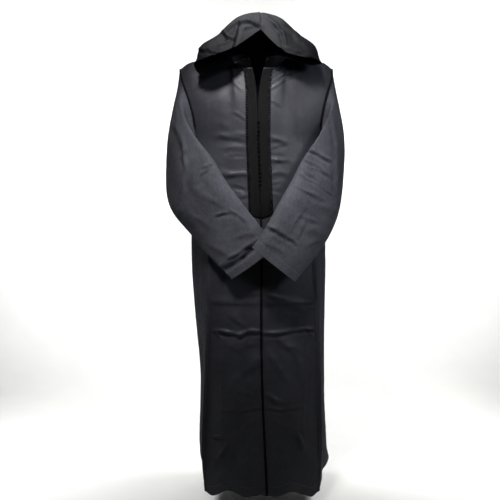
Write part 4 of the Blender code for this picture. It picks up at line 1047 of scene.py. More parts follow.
def crease_height(points, normals, rows, sight):
    """Height that a table of creases adds at each point of a piece.

    d = distance above the crease's bowed and straying line, t = place along it from 0 to 1:
    CREASE_RISE * high * fade * (exp(-(d / wide)^2) - dip * exp(-((d + 1.7 wide) / (1.3 wide))^2)).
    fade = (0.55 + 0.45 sin(pi t)) (1 + 0.25 sin(9 t + 2.3 number)), and past the ends a bell of
    1.2 wide. sight (-1 for the front, 1 for the back) keeps it to the cloth that faces that way,
    by the factor 1.6 facing + 0.15 between 0 and 1.
    """
    total = np.zeros(points.shape[:-1])
    x, z = points[..., 0], points[..., 2]
    wander = noise(points, WANDER)
    for number, row in enumerate(rows):
        from_x, from_z, to_x, to_z, bow, wide, high = (value / 1000 for value in row[:7])
        dip = row[7]
        run_x, run_z = to_x - from_x, to_z - from_z
        length = np.hypot(run_x, run_z)
        t = ((x - from_x) * run_x + (z - from_z) * run_z) / length ** 2
        d = ((z - from_z) * run_x - (x - from_x) * run_z) / length * np.sign(run_x + 1e-9)
        arch = np.sin(np.pi * np.clip(t, 0, 1))
        d = d - bow * arch + wander * min(1.0, length / WANDER_RUN)
        over = np.maximum(np.maximum(-t, t - 1), 0) * length
        fade = bell(over, 1.2 * wide) * (0.55 + 0.45 * arch)
        fade = fade * (1 + 0.25 * np.sin(9.0 * t + 2.3 * number))
        total += high * fade * (bell(d, wide) - dip * bell(d + 1.7 * wide, 1.3 * wide))
    return CREASE_RISE * total * np.clip(sight * normals[..., 1] * 1.6 + 0.15, 0, 1)


def seen_from_front(points, plane):
    """The places on the upright plane y = plane that cover the points in the photograph's view."""
    eye = np.array(CAMERA_PLACE)
    ray = points - eye
    return eye + ray * ((plane - eye[1]) / ray[..., 1:2])


def softness(points, amount):
    """Uneven lie of the cloth: swells, hanging flutes low down, crumples, grain and a heavy lap.

    Crumples are sharp lines where a noise passes nought: PINCH_HIGH (PINCH_LEVEL - |crumple|),
    stronger in patches. The lap is the pull across the front of the skirt below the hands.
    """
    x, y, z = (points[..., k] for k in range(3))
    low = np.clip((-FLUTES_FROM - z) / FLUTES_RUN, 0, 1)
    crumple = field(points, CRUMPLE_CELL, CRUMPLE_SEED)
    patches = 0.5 + 0.5 * field(points, PINCH_CELL, PINCH_SEED)
    pinch = PINCH_HIGH * (PINCH_LEVEL - np.abs(crumple)) * patches
    in_lap = np.exp(-(x / LAP_HALF_WIDTH) ** 4) * smooth_step(-z, *LAP_FROM) * smooth_step(-y, 0.0, LAP_FRONT)
    even = noise(points, SWELL) + low * noise(points, FLUTES) + pinch + noise(points, GRAIN)
    return amount * (even + in_lap * noise(points, LAP))


def hem_lift(points):
    """Rise of the cloth near the hem: the sum of lift exp(-((x - place) / wide)^2), fading upward."""
    waves = table(HEM_COLUMNS, HEM_WAVES)
    place = points[..., :1] * 1000
    facing_way = np.clip(points[..., 1:2] * waves["sight"] / HEM_SIDE, 0, 1)
    bump = waves["lift"] / 1000 * bell(place - waves["x"], waves["wide"]) * facing_way
    return bump.sum(axis=-1) * smooth_step(-points[..., 2], HEM_CALM, HEM_FULL)


def edge_distance(grid, axis, last):
    """Length along the cloth from the first or last row (axis 0) or column (axis 1)."""
    step = np.linalg.norm(np.diff(grid, axis=axis), axis=-1)
    gone = np.cumsum(step, axis=axis)
    gone = np.concatenate([np.zeros_like(gone.take([0], axis=axis)), gone], axis=axis)
    return gone.take([-1], axis=axis) - gone if last else gone


def smooth_step(value, start, end):
    """0 before the start, 1 after the end, s s (3 - 2 s) between them."""
    s = np.clip((value - start) / (end - start), 0, 1)
    return s * s * (3 - 2 * s)


def dress(
    grid, creases, sight=-1, seams=(), under=(), hem=None, wrap=False, amount=1.0,
    centre=TRUNK_MIDDLE, pressed=(), sunk=(), allowance=ALLOWANCE,
):
    """Fine surface of one piece with its creases, rolled seams, seam allowance and stitched hem.

    seams, under, pressed, sunk and hem name edges as (axis, last), and d = distance from one.
    Creases end SEAM_CALM from a seam, and it sinks by SEAM_SINK exp(-(d / SEAM_ROLL)^2). Below
    the arms an edge in pressed stands up by PRESSED_RISE exp(-(d / PRESSED_WIDE)^2), and one in
    sunk lies lower by GORE_SINK exp(-(d / GORE_SINK_WIDE)^2). A hem stands HEM_RAISE proud up to
    HEM_DEPTH from its edge and ends in a ditch. Along the edges in under, the cloth goes on under
    its neighbour by the allowance.
    """
    fine = refine(grid, wrap)
    normals = facing(grid_normals(fine, wrap), fine, centre)
    height = crease_height(fine, normals, creases, sight) + softness(fine, amount)
    for edge in seams:
        height = height * smooth_step(edge_distance(fine, *edge), 0.0, SEAM_CALM)
    for edge in seams:
        height = height - SEAM_SINK * bell(edge_distance(fine, *edge), SEAM_ROLL)
    low = smooth_step(-fine[..., 2], *PRESSED_FROM)
    for edge in pressed:
        height = height + low * PRESSED_RISE * bell(edge_distance(fine, *edge), PRESSED_WIDE)
    for edge in sunk:
        height = height - low * GORE_SINK * bell(edge_distance(fine, *edge), GORE_SINK_WIDE)
    if hem is not None:
        far = edge_distance(fine, *hem)
        height = height + HEM_RAISE * (1 - smooth_step(far, HEM_DEPTH - HEM_STEP, HEM_DEPTH))
        height = height - HEM_DITCH * bell(far - HEM_DEPTH - HEM_LINE, HEM_DITCH_WIDE)
    fine = fine + normals * height[..., None]
    fine[..., 2] += hem_lift(fine)
    normals = facing(grid_normals(fine, wrap), fine, centre)
    for edge in under:
        fine, normals = turn_under(fine, normals, *edge, allowance)
    return fine, normals


def turn_under(grid, normals, axis, last, allowance):
    """A piece with its seam allowance: two more rows past one edge, each deeper inside."""
    grid, normals = np.swapaxes(grid, 0, axis), np.swapaxes(normals, 0, axis)
    if last:
        grid, normals = grid[::-1], normals[::-1]
    onward = unit(grid[0] - grid[2])
    rows = [grid[0] + onward * far - normals[0] * deep for far, deep in reversed(allowance)]
    grid = np.concatenate([rows, grid])
    normals = np.concatenate([normals[:1], normals[:1], normals])
    if last:
        grid, normals = grid[::-1], normals[::-1]
    return np.swapaxes(grid, 0, axis), np.swapaxes(normals, 0, axis)


def on_grid(grid, row, col):
    """Points of a grid at fractional rows and columns, by straight lines both ways."""
    i = np.clip(row.astype(int), 0, grid.shape[0] - 2)
    j = np.clip(col.astype(int), 0, grid.shape[1] - 2)
    u, v = (row - i)[..., None], (col - j)[..., None]
    near = grid[i, j] * (1 - u) + grid[i + 1, j] * u
    far = grid[i, j + 1] * (1 - u) + grid[i + 1, j + 1] * u
    return near * (1 - v) + far * v


def sheet_object(name, grid, wrap=False, thick=SHEET, outward=None, metres=None):
    """An object of quads on a grid, its UV map in metres of cloth: u round it and v up it."""
    rows, cols = grid.shape[:2]
    index = np.arange(rows * cols).reshape(rows, cols)
    u, v = run_length(np.swapaxes(grid, 0, 1)), run_length(grid)
    if wrap:
        index = np.concatenate([index, index[:, :1]], axis=1)
        u = np.append(u, u[-1] + np.linalg.norm(grid[:, 0] - grid[:, -1], axis=-1).mean())
    if metres is not None:
        u, v = metres
    flat = np.stack(np.broadcast_arrays(u[None, :], v[:, None]), axis=-1)
    corners = [(slice(0, -1), slice(0, -1)), (slice(1, None), slice(0, -1))]
    corners += [(slice(1, None), slice(1, None)), (slice(0, -1), slice(1, None))]
    if outward is not None and np.sum(grid_normals(grid, wrap) * outward) < 0:
        corners = corners[::-1]
    faces = np.stack([index[c].ravel() for c in corners], axis=1)
    maps = np.stack([flat[c].reshape(-1, 2) for c in corners], axis=1)
    piece = mesh_object(name, grid.reshape(-1, 3), faces, maps.reshape(-1, 2))
    if thick:
        wall = piece.modifiers.new("cloth thickness", "SOLIDIFY")
        wall.thickness = thick
        wall.offset = -1.0
    return piece


def mesh_object(name, points, faces, maps=None):
    """A smooth-shaded object from arrays of points and quads, at the origin."""
    mesh = bpy.data.meshes.new(name)
    mesh.vertices.add(len(points))
    mesh.vertices.foreach_set("co", np.asarray(points, np.float32).ravel())
    mesh.loops.add(faces.size)
    mesh.loops.foreach_set("vertex_index", faces.astype(np.int32).ravel())
    mesh.polygons.add(len(faces))
    mesh.polygons.foreach_set("loop_start", np.arange(0, faces.size, faces.shape[1], dtype=np.int32))
    mesh.update(calc_edges=True)
    mesh.polygons.foreach_set("use_smooth", np.ones(len(faces), bool))
    if maps is not None:
        layer = mesh.uv_layers.new(name="cloth")
        layer.data.foreach_set("uv", np.asarray(maps, np.float32).ravel())
    mesh.validate()
    piece = bpy.data.objects.new(name, mesh)
    bpy.context.scene.collection.objects.link(piece)
    return piece


def cell_corners(values):
    """Values at the four corners of each cell of many grids, with shape (grids, rows, columns)."""
    near, far = values[:, :-1], values[:, 1:]
    return np.stack([near[:, :, :-1], near[:, :, 1:], far[:, :, 1:], far[:, :, :-1]], axis=3)


def ring_quads(count, rings, sides):
    """Point numbers at the corners of the quads of many tubes, given their rings and sides."""
    index = np.arange(count * rings * sides).reshape(count, rings, sides)
    return cell_corners(np.concatenate([index, index[..., :1]], axis=2)).reshape(-1, 4)


def tubes(name, paths, outs, radius, sides, pattern=None):
    """Many cords as one object: rings of the radius carried along each path.

    paths and outs have the shape (cords, rings, 3). pattern is a factor on the radius from the
    angle round the cord and the number of the ring. Each end is drawn together to a point.
    """
    count, rings = paths.shape[:2]
    along = unit(np.gradient(paths, axis=1))
    across = unit(np.cross(along, outs))
    up = np.cross(across, along)
    turn = np.arange(sides) * 2 * np.pi / sides
    size = np.full((count, rings, 1), radius)
    if pattern is not None:
        size = size * pattern(turn[None, None, :], np.arange(rings)[None, :, None])
    ends = np.ones(rings)
    ends[[0, -1]] = TUBE_TIP
    size = (size * ends[None, :, None])[..., None]
    ring = across[:, :, None] * np.cos(turn)[:, None] + up[:, :, None] * np.sin(turn)[:, None]
    points = paths[:, :, None] + ring * size
    v = np.broadcast_to(run_length(np.swapaxes(paths, 0, 1))[None, :, None], (count, rings, sides + 1))
    u = np.broadcast_to(np.arange(sides + 1) / sides, (count, rings, sides + 1))
    flat = np.stack([u * 2 * np.pi * radius, v], axis=-1)
    faces = ring_quads(count, rings, sides)
    return mesh_object(name, points.reshape(-1, 3), faces, cell_corners(flat).reshape(-1, 2))


def stitches(name, grid, normals, last, depth):
    """A row of short stitches along a line at a depth from the lower or upper edge of a piece."""
    far = edge_distance(grid, 0, last)
    if last:
        grid, normals, far = grid[::-1], normals[::-1], far[::-1]
    row = (far < depth).sum(axis=0) - 1
    col = np.arange(grid.shape[1])
    share = (depth - far[row, col]) / (far[row + 1, col] - far[row, col])
    line = on_grid(grid, row + share, col.astype(float))
    out = on_grid(normals, row + share, col.astype(float))
    run = run_length(line[:, None])
    starts = np.arange(STITCH_FIRST, run[-1] - STITCH_LAST, STITCH_PITCH)
    place = starts[:, None] + np.linspace(0, STITCH_LENGTH, len(STITCH_ARCH))[None, :]
    paths = np.stack([np.interp(place, run, line[:, k]) for k in range(3)], axis=-1)
    outs = unit(np.stack([np.interp(place, run, out[:, k]) for k in range(3)], axis=-1))
    arch = np.array(STITCH_ARCH) * STITCH_RADIUS
    return tubes(name, paths + outs * arch[None, :, None], outs, STITCH_RADIUS, THIN_SIDES)


def line_on_front(grid, normals, levels, across):
    """Points and normals of a front panel at heights and at lengths of cloth from its middle edge.

    The row at each level is found first, then the column where the length along that row is
    the wanted one, both by straight lines between the mesh's points.
    """
    row = np.interp(levels, grid[:, 0, 2], np.arange(len(grid)))
    cols = np.arange(grid.shape[1], dtype=float)
    line = on_grid(grid, row[:, None] + 0 * cols, cols + 0 * row[:, None])
    run = np.linalg.norm(np.diff(line, axis=1), axis=-1).cumsum(axis=1)
    run = np.concatenate([np.zeros((len(line), 1)), run], axis=1)
    wanted = np.broadcast_to(across, (len(levels), np.shape(across)[-1]))
    cell = (run[:, None, :] <= wanted[:, :, None]).sum(axis=-1) - 1
    cell = np.clip(cell, 0, grid.shape[1] - 2)
    start = np.take_along_axis(run, cell, axis=1)
    end = np.take_along_axis(run, cell + 1, axis=1)
    col = cell + (wanted - start) / (end - start)
    rows = np.broadcast_to(row[:, None], col.shape)
    return on_grid(grid, rows, col), unit(on_grid(normals, rows, col))


def band_reach(levels, top):
    """Width of a placket band at each level: narrower near the neck, like the solid's."""
    return np.interp(top - levels, (0, BAND_TAPER), (BAND_WIDTH_TOP, BAND_WIDTH))


def braid_band(name, grid, normals):
    """Braid band on a front panel: fine lengthwise ribs RIB_HIGH |sin(pi u / RIB_PITCH)|.

    Two edges of the form high * exp(-((u - place) / wide)^2) are raised on it. Its lower end
    slants down to the middle by BAND_POINT, as the solid's does.
    """
    top = grid[-1, 0, 2] - BAND_BELOW_NECK
    levels = np.arange(BAND_END, top, BAND_STEP)
    share = np.linspace(0, 1, BAND_COLS)[None, :]
    reach = band_reach(levels, top)[:, None]
    across = SEAM_GAP + (reach - SEAM_GAP) * share
    sunk = np.interp(levels, (BAND_END, BAND_END + BAND_POINT_RUN), (BAND_POINT, 0.0))
    low, out = line_on_front(grid, normals, levels, across)
    under, _ = line_on_front(grid, normals, levels - sunk, across)
    base = low * share[..., None] + under * (1 - share)[..., None]
    rib = RIB_HIGH * np.abs(np.sin(np.pi * across / RIB_PITCH))
    border = BORDER[0] * bell(across - BORDER[1] * reach, BORDER[2])
    border = border + MIDDLE_EDGE[0] * bell(across - MIDDLE_EDGE[1], MIDDLE_EDGE[2])
    at_neck = np.interp(top - levels, (BAND_TOP_RUN, BAND_TAPER), (1, 0))[:, None]
    lift = TRIM_LIFT + RAISED + BAND_THICK + rib + border + BAND_TOP_LIFT * share * at_neck
    surface = base + out * lift[..., None]
    metres = (across.mean(axis=0), levels - levels[0])
    band = sheet_object(name, surface, thick=BAND_THICK, outward=out, metres=metres)
    return band, surface, out, levels


def picots(name, surface, outs, levels):
    """Small cord loops out from the outer edge of a band, one to each tooth of the solid.

    Each is half an ellipse PICOT_WIDE long on the edge and PICOT_REACH out from it, and goes on
    for PICOT_TURN at both ends, under the edge.
    """
    pitch = (levels[-1] - BAND_END) / int(round((levels[-1] - BAND_END) / BAND_TOOTH_PITCH))
    centres = np.arange(BAND_END + pitch / 2, levels[-1], pitch)
    row = np.interp(centres, levels, np.arange(len(levels)))
    col = np.full_like(row, surface.shape[1] - 1.001)
    edge = on_grid(surface, row, col)
    away = unit(edge - on_grid(surface, row, col - 6.0))
    out = unit(on_grid(outs, row, col))
    along = np.cross(out, away)
    turn = np.linspace(-PICOT_TURN, np.pi + PICOT_TURN, 11)[None, :, None]
    loop = along[:, None] * np.cos(turn) * PICOT_WIDE / 2 + away[:, None] * np.sin(turn) * PICOT_REACH
    paths = edge[:, None] + loop - out[:, None] * BAND_THICK * 0.5
    return tubes(name, paths, np.broadcast_to(out[:, None], paths.shape), PICOT_RADIUS, THIN_SIDES)


def braided_cord(name, path, out):
    """Half-round braid along a path, its strands a herringbone that meets down the middle.

    With s = place round the section from 0 to 1 and v = length along it, the section is
    swollen by 1 + 0.13 |sin(pi (v / STRAND_PITCH + 1.6 |s - 0.5|))| - 0.10 exp(-((s - 0.5) / 0.06)^2).
    """
    s = np.linspace(0, 1, 13)
    turn = np.linspace(0, np.pi, 13)
    run = run_length(path[:, None])
    strand = np.abs(np.sin(np.pi * (run[:, None] / STRAND_PITCH + np.abs(s - 0.5) * 1.6)))
    plump = 1 + 0.13 * strand - 0.10 * bell(s - 0.5, 0.06)
    along = unit(np.gradient(path, axis=0))
    across = unit(np.cross(along, out))
    side = across[:, None] * (np.cos(turn) * CORD_HALF_WIDTH * plump)[..., None]
    high = out[:, None] * (CORD_LIFT + RAISED + np.sin(turn) * CORD_HEIGHT * plump)[..., None]
    surface = path[:, None] + side + high
    outward = np.broadcast_to(out[:, None], surface.shape)
    return sheet_object(name, surface, thick=CORD_SKIN, outward=outward)


def armhole_path(parts, name, sleeve_normals):
    """Path of the cord in the valley between body and sleeve, and its directions out.

    Lift off the seam = CORD_RADIUS / spread + ARMHOLE_CORD_LIFT - SHOULDER_CORD_SINK
    exp(-(drop / SHOULDER_CORD_DROP)^2), with spread = how far the sleeve faces the way out, at
    least VALLEY, and drop = depth below the shoulder tip. So the cord sinks in at the shoulder.
    """
    ring, _ = armhole(parts, name)
    out = unit(sleeve_normals[0] + sleeve_normals[1])
    spread = np.clip(np.sum(out * sleeve_normals[1], axis=-1), VALLEY, 1.0)
    front = np.arange(HIGH_ROWS - 1, -1, -1)
    order = np.concatenate([front, np.arange(len(ring) - 1, len(ring) - HIGH_ROWS, -1)])
    lift = CORD_RADIUS / spread[order] + ARMHOLE_CORD_LIFT
    lift -= SHOULDER_CORD_SINK * bell(ring[0, 2] - ring[order, 2], SHOULDER_CORD_DROP)
    path = ring[order] + out[order] * lift[:, None]
    knots = run_length(path[:, None])
    places = np.arange(0, knots[-1], TWIST_STEP)
    return spline(knots, path, places), unit(spline(knots, out[order], places))


def twisted(turn, ring):
    """Four strands laid round each other: 0.86 + 0.14 |cos(2 (turn - ring / 2.4))|."""
    return 0.86 + 0.14 * np.abs(np.cos(2 * (turn - ring / 2.4)))


def knotted_balls(name, centres, outs, radius):
    """Ball buttons of knotted cord, on which two sets of strands cross.

    With a = angle round and b = angle from the top, the radius is multiplied by 0.90 + 0.12 of
    the higher of |sin(2 a + 3 b)| and |sin(2 a - 3 b)|.
    """
    turn = np.arange(28) * 2 * np.pi / 28
    tilt = np.linspace(0.02, np.pi - 0.02, 17)[:, None]
    first = np.abs(np.sin(2.0 * turn + 3.0 * tilt))
    second = np.abs(np.sin(2.0 * turn - 3.0 * tilt))
    size = radius * (0.90 + 0.12 * np.maximum(first, second))
    ball = stack(size * np.sin(tilt) * np.cos(turn), size * np.sin(tilt) * np.sin(turn), size * np.cos(tilt))
    up = unit(outs)
    east = unit(np.cross(np.array([0.0, 0.0, 1.0]), up))
    axes = np.stack([east, np.cross(up, east), up], axis=1)
    points = centres[:, None, None] + np.einsum("ijk,nkl->nijl", ball, axes)
    faces = ring_quads(*points.shape[:3])[:, [0, 3, 2, 1]]
    return mesh_object(name, points.reshape(-1, 3), faces)


def button_loops(name, centres, outs):
    """A cord loop for each button: half a circle round its neck, with two legs under the band."""
    turn = np.linspace(-np.pi / 2, np.pi / 2, 9)
    legs = [LOOP_ROOT, LOOP_ROOT * 0.6]
    reach = np.concatenate([legs, -LOOP_REACH * np.cos(turn), legs[::-1]])
    rise_by = np.concatenate([[-0.9, -1.0], np.sin(turn), [1.0, 0.9]]) * LOOP_REACH
    up = np.array([0.0, 0.0, 1.0])
    east = unit(np.cross(up, outs))
    paths = centres[:, None] + east[:, None] * reach[None, :, None] + up * rise_by[None, :, None]
    return tubes(name, paths, np.broadcast_to(outs[:, None], paths.shape), LOOP_RADIUS, THIN_SIDES)


def linear(code):
    """An sRGB hex colour as linear red, green, blue and alpha."""
    values = np.array([int(code[i:i + 2], 16) for i in (1, 3, 5)]) / 255
    values = np.where(values <= 0.04045, values / 12.92, ((values + 0.055) / 1.055) ** 2.4)
    return (*values.tolist(), 1.0)


def add_node(tree, kind, settings=(), **inputs):
    """A node of a kind with its settings, and its inputs by name: a value, or a socket to link."""
    node = tree.nodes.new(kind)
    for key, value in dict(settings).items():
        setattr(node, key, value)
    for key, value in inputs.items():
        place = int(key[1:]) if key[0] == "i" and key[1:].isdigit() else key.replace("_", " ")
        if isinstance(value, bpy.types.NodeSocket):
            tree.links.new(value, node.inputs[place])
        else:
            node.inputs[place].default_value = value
    return node


def new_material(name):
    """An empty material, its node tree and its shader, already joined to the output."""
    material = bpy.data.materials.new(name)
    material.use_nodes = True
    return material, material.node_tree, material.node_tree.nodes["Principled BSDF"]


def cell_noise(tree, place, wide, long, **settings):
    """Noise in cells as wide and as long as given, in metres of cloth."""
    scaled = add_node(tree, "ShaderNodeMapping", i0=place, Scale=(1 / wide, 1 / long, 1.0)).outputs[0]
    return add_node(tree, "ShaderNodeTexNoise", i0=scaled, Scale=1.0, **settings).outputs[0]


def maths(tree, operation, first, second):
    """Two values added, multiplied and so on."""
    return add_node(tree, "ShaderNodeMath", {"operation": operation}, i0=first, i1=second).outputs[0]


def bands(tree, place, direction, distortion, detail):
    """Waves across the place, about one to each unit of it."""
    return add_node(
        tree, "ShaderNodeTexWave", {"bands_direction": direction}, i0=place, Scale=0.31,
        Distortion=distortion, Detail=detail,
    ).outputs[1]


def paint(tree, shader, share, dark, light):
    """The shader's colour, from dark to light by the share."""
    colour = add_node(
        tree, "ShaderNodeMix", {"data_type": "RGBA"}, i0=share, i6=linear(dark), i7=linear(light)
    ).outputs[2]
    tree.links.new(colour, shader.inputs["Base Color"])


def finish(shader, **values):
    """Plain values of the shader's inputs, by name."""
    for key, value in values.items():
        shader.inputs[key.replace("_", " ")].default_value = value


def woven_suiting(name, dark, light, roughness, gleam):
    """Fine plain-weave worsted in charcoal melange, pressed: even, matt, with a faint satin sheen.

    The threads are 0.5 mm apart in life, too fine to show, so the weave's bump is drawn at
    WEAVE_PITCH. Upright slubs of 4 by 16 mm and flecks of 2.4 by 3 mm give the mottled grey of
    melange, and clouds of 70 by 160 mm its uneven pressing.
    """
    material, tree, shader = new_material(name)
    place = add_node(tree, "ShaderNodeUVMap", {"uv_map": "cloth"}).outputs["UV"]
    slub = cell_noise(tree, place, 0.0040, 0.0160, Detail=3.0, Roughness=0.6)
    fleck = cell_noise(tree, place, 0.0024, 0.0030, Detail=4.0, Roughness=0.7)
    cloud = cell_noise(tree, place, 0.070, 0.160, Detail=2.0)
    both = maths(tree, "ADD", maths(tree, "ADD", slub, fleck), cloud)
    both = add_node(tree, "ShaderNodeMapRange", i0=both, From_Min=1.05, From_Max=1.95).outputs[0]
    paint(tree, shader, both, dark, light)
    rough = add_node(
        tree, "ShaderNodeMapRange", i0=fleck, From_Min=0.3, From_Max=0.7, To_Min=roughness - 0.06,
        To_Max=roughness + 0.06,
    ).outputs[0]
    tree.links.new(rough, shader.inputs["Roughness"])
    pitch = (1 / WEAVE_PITCH, 1 / WEAVE_PITCH, 1.0)
    warp = add_node(tree, "ShaderNodeMapping", i0=place, Scale=pitch).outputs[0]
    weave = maths(tree, "MULTIPLY", bands(tree, warp, "X", 1.2, 1.0), bands(tree, warp, "Y", 1.2, 1.0))
    weave = maths(tree, "ADD", weave, slub)
    bump = add_node(tree, "ShaderNodeBump", Strength=0.35, Distance=0.00035, Height=weave).outputs[0]
    tree.links.new(bump, shader.inputs["Normal"])
    finish(shader, IOR=1.47, Specular_IOR_Level=gleam, Sheen_Weight=0.02, Sheen_Roughness=0.38)
    finish(shader, Sheen_Tint=linear(SHEEN_TINT))
    return material


def silk_braid(name, dark, light, pitch, high):
    """Black viscose cord, tightly plaited: each strand a short slanting painted highlight on near black.

    pitch and high are the strands' width and height, and a speckle of 1.1 mm breaks up their painted
    highlight.
    """
    material, tree, shader = new_material(name)
    place = add_node(tree, "ShaderNodeUVMap", {"uv_map": "cloth"}).outputs["UV"]
    slant = add_node(
        tree, "ShaderNodeMapping", i0=place, Rotation=(0.0, 0.0, 0.62), Scale=(1 / pitch, 1 / pitch, 1.0)
    ).outputs[0]
    strand = bands(tree, slant, "Y", 0.8, 2.0)
    speckle = add_node(tree, "ShaderNodeTexCoord").outputs["Object"]
    speckle = add_node(tree, "ShaderNodeTexNoise", i0=speckle, Scale=900.0, Detail=3.0).outputs[0]
    # The strands' crests are painted lighter: a painted highlight, broken up by the speckle
    paint(tree, shader, maths(tree, "MULTIPLY", strand, speckle), dark, light)
    bump = add_node(tree, "ShaderNodeBump", Strength=0.8, Distance=high, Height=strand).outputs[0]
    tree.links.new(bump, shader.inputs["Normal"])
    finish(shader, Roughness=0.52, IOR=1.52, Specular_IOR_Level=0.09)
    return material


def sewing_thread(name, dark, light):
    """Spun polyester sewing thread: a fine line a little lighter than the cloth, mottled by its twist.

    The twist is drawn 0.6 mm long, coarser than in life, so that it shows.
    """
    material, tree, shader = new_material(name)
    place = add_node(tree, "ShaderNodeTexCoord").outputs["Object"]
    twist = add_node(tree, "ShaderNodeTexNoise", i0=place, Scale=1800.0, Detail=1.0).outputs[0]
    paint(tree, shader, twist, dark, light)
    finish(shader, Roughness=0.60)
    return material


def matt_paper(name, dark, light):
    """Pale studio paper: matt, with a faint mottle 170 mm wide of painted uneven light, as lit paper has."""
    material, tree, shader = new_material(name)
    place = add_node(tree, "ShaderNodeTexCoord").outputs["Object"]
    light_mottle = add_node(tree, "ShaderNodeTexNoise", i0=place, Scale=6.0, Detail=2.0).outputs[0]
    # The mottle is painted uneven light on the paper
    paint(tree, shader, light_mottle, dark, light)
    finish(shader, Roughness=0.92)
    return material


def dress_robe():
    """All the pieces of the robe, each with its material and with the solids it stands for hidden."""
    # One cloth made twice: the body's copy painted darker, as shaded, and the sleeves' and hood's copy
    # painted lighter, as lit
    cloth = woven_suiting("charcoal worsted suiting, pressed face", *SHADED_BODY_FINISH)
    painted_lighter = woven_suiting("charcoal worsted suiting, dry face", *LIT_SLEEVE_FINISH)
    braid = silk_braid("black viscose sfifa braid", *BAND_FINISH)
    cording = silk_braid("black viscose cord", *CORD_FINISH)
    thread = sewing_thread("charcoal sewing thread", *THREAD_FINISH)
    parts = trunk()
    made = []

    def keep(piece, material, nodes=(), cut=None):
        """Material, body, replaced solids and cut of one finished piece; the cut is not used."""
        piece.data.materials.append(material)
        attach(piece, "root")
        if nodes:
            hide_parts(*nodes)
        made.append(piece)

    def keep_cloth(node, material, fine, fine_n, row, last=False, depth=HEM_DEPTH - HEM_LINE, wrap=False):
        """A piece of cloth named after its solid, and the row of stitches along its free edge."""
        piece = sheet_object(node + "_cloth", fine, wrap=wrap, outward=fine_n)
        keep(piece, material, [node], cut_of(fine, wrap))
        keep(stitches(row, fine, fine_n, last, depth), thread)

    # Sleeves
    for name, rows, side, creases in (
        ("left", SLEEVE_LEFT, -1, SLEEVE_LEFT_CREASES), ("right", SLEEVE_RIGHT, 1, SLEEVE_RIGHT_CREASES),
    ):
        grid, normals = sleeve(parts, name, rows, side)
        path, out = armhole_path(parts, name, normals)
        grid[0] += unit(grid[1] - grid[0]) * 2 * SEAM_GAP
        fine, fine_n = dress(
            grid, creases, seams=((0, False),), under=((0, False),), hem=(0, True), wrap=True,
            amount=0.8, centre=grid.mean(axis=1).mean(axis=0), allowance=SLEEVE_ALLOWANCE,
        )
        keep_cloth("sleeve_" + name, painted_lighter, fine, fine_n, "cuff_stitches_" + name, last=True, wrap=True)
        cord_name = "armhole_cord_" + name
        radius = CORD_RADIUS * TWIST_SWELL
        cord = tubes(cord_name + "_twisted", path[None], out[None], radius, TWIST_SIDES, twisted)
        keep(cord, cording, [cord_name])

    # Fronts, their bands and the gores
    fronts = {}
    both_sides = ((1, False), (1, True))
    for name in ("left", "right"):
        fine, fine_n = dress(
            parts["front_" + name][0], FRONT_CREASES, seams=((1, True), (0, True)), hem=(0, False),
            amount=0.9, pressed=((1, True),),
        )
        fronts[name] = (fine, fine_n)
        keep_cloth("front_" + name, cloth, fine, fine_n, "hem_stitches_front_" + name)
        band, surface, out, levels = braid_band("placket_band_" + name + "_braid", fine, fine_n)
        keep(band, braid, ["placket_band_" + name])
        keep(picots("placket_picots_" + name, surface, out, levels), cording)
        fine, fine_n = dress(
            open_slit(parts["gore_" + name][0]), GORE_CREASES, seams=(*both_sides, (0, True)),
            under=both_sides, hem=(0, False), amount=0.9, sunk=both_sides,
        )
        keep_cloth("side_gore_" + name, cloth, fine, fine_n, "hem_stitches_gore_" + name)

    # Back
    back = np.concatenate([parts["back_right"][0], parts["back_left"][0][:, -2::-1]], axis=1)
    fine, fine_n = dress(back, BACK_CREASES, sight=1, seams=(*both_sides, (0, True)), hem=(0, False))
    keep_cloth("back", cloth, fine, fine_n, "hem_stitches_back")

    # Hood: its creases are drawn as the camera sees them, on all of the cloth and not by facing
    for name, grid in zip(("right", "left"), hood(parts)):
        fine = refine(grid)
        fine_n = facing(grid_normals(fine), fine, HOOD_MIDDLE)
        seen = seen_from_front(fine, HOOD_PLANE)
        height = crease_height(seen, np.full_like(fine_n, -0.55), HOOD_CREASES, -1) + softness(fine, 0.6)
        height = height * smooth_step(edge_distance(fine, 1, True), 0.0, HOOD_CALM[0])
        height = height * smooth_step(edge_distance(fine, 0, False), 0.0, HOOD_CALM[1])
        fine = fine + fine_n * height[..., None]
        fine, fine_n = turn_under(fine, fine_n, 0, False, ALLOWANCE)
        keep_cloth(
            "hood_" + name, painted_lighter, fine, fine_n, "hood_stitches_" + name, last=True, depth=HOOD_STITCHES
        )

    # Centre front cord, buttons and loops
    fine, fine_n = fronts["right"]
    middle = np.zeros((1, 1))
    levels = np.arange(fine[0, 0, 2] + CORD_HEM_GAP, BAND_END - BAND_POINT - CORD_BAND_GAP, CORD_STEP)
    path, out = line_on_front(fine, fine_n, levels, middle)
    keep(braided_cord("centre_front_cord_braid", path[:, 0], out[:, 0]), cording, ["centre_front_cord"])
    levels = np.linspace(BUTTON_TOP, BUTTON_BOTTOM, BUTTON_COUNT)
    seat, out = line_on_front(fine, fine_n, levels, middle)
    seat, out = seat[:, 0], out[:, 0]
    lift = TRIM_LIFT + RAISED + BAND_THICK
    balls = knotted_balls("knotted_buttons", seat + out * (lift + BUTTON_RADIUS), out, BUTTON_RADIUS)
    keep(balls, cording, [f"button_{number:02d}" for number in range(1, BUTTON_COUNT + 1)])
    keep(button_loops("button_loops", seat + out * (lift + LOOP_RADIUS + LOOP_LIFT), out), cording)
    return made


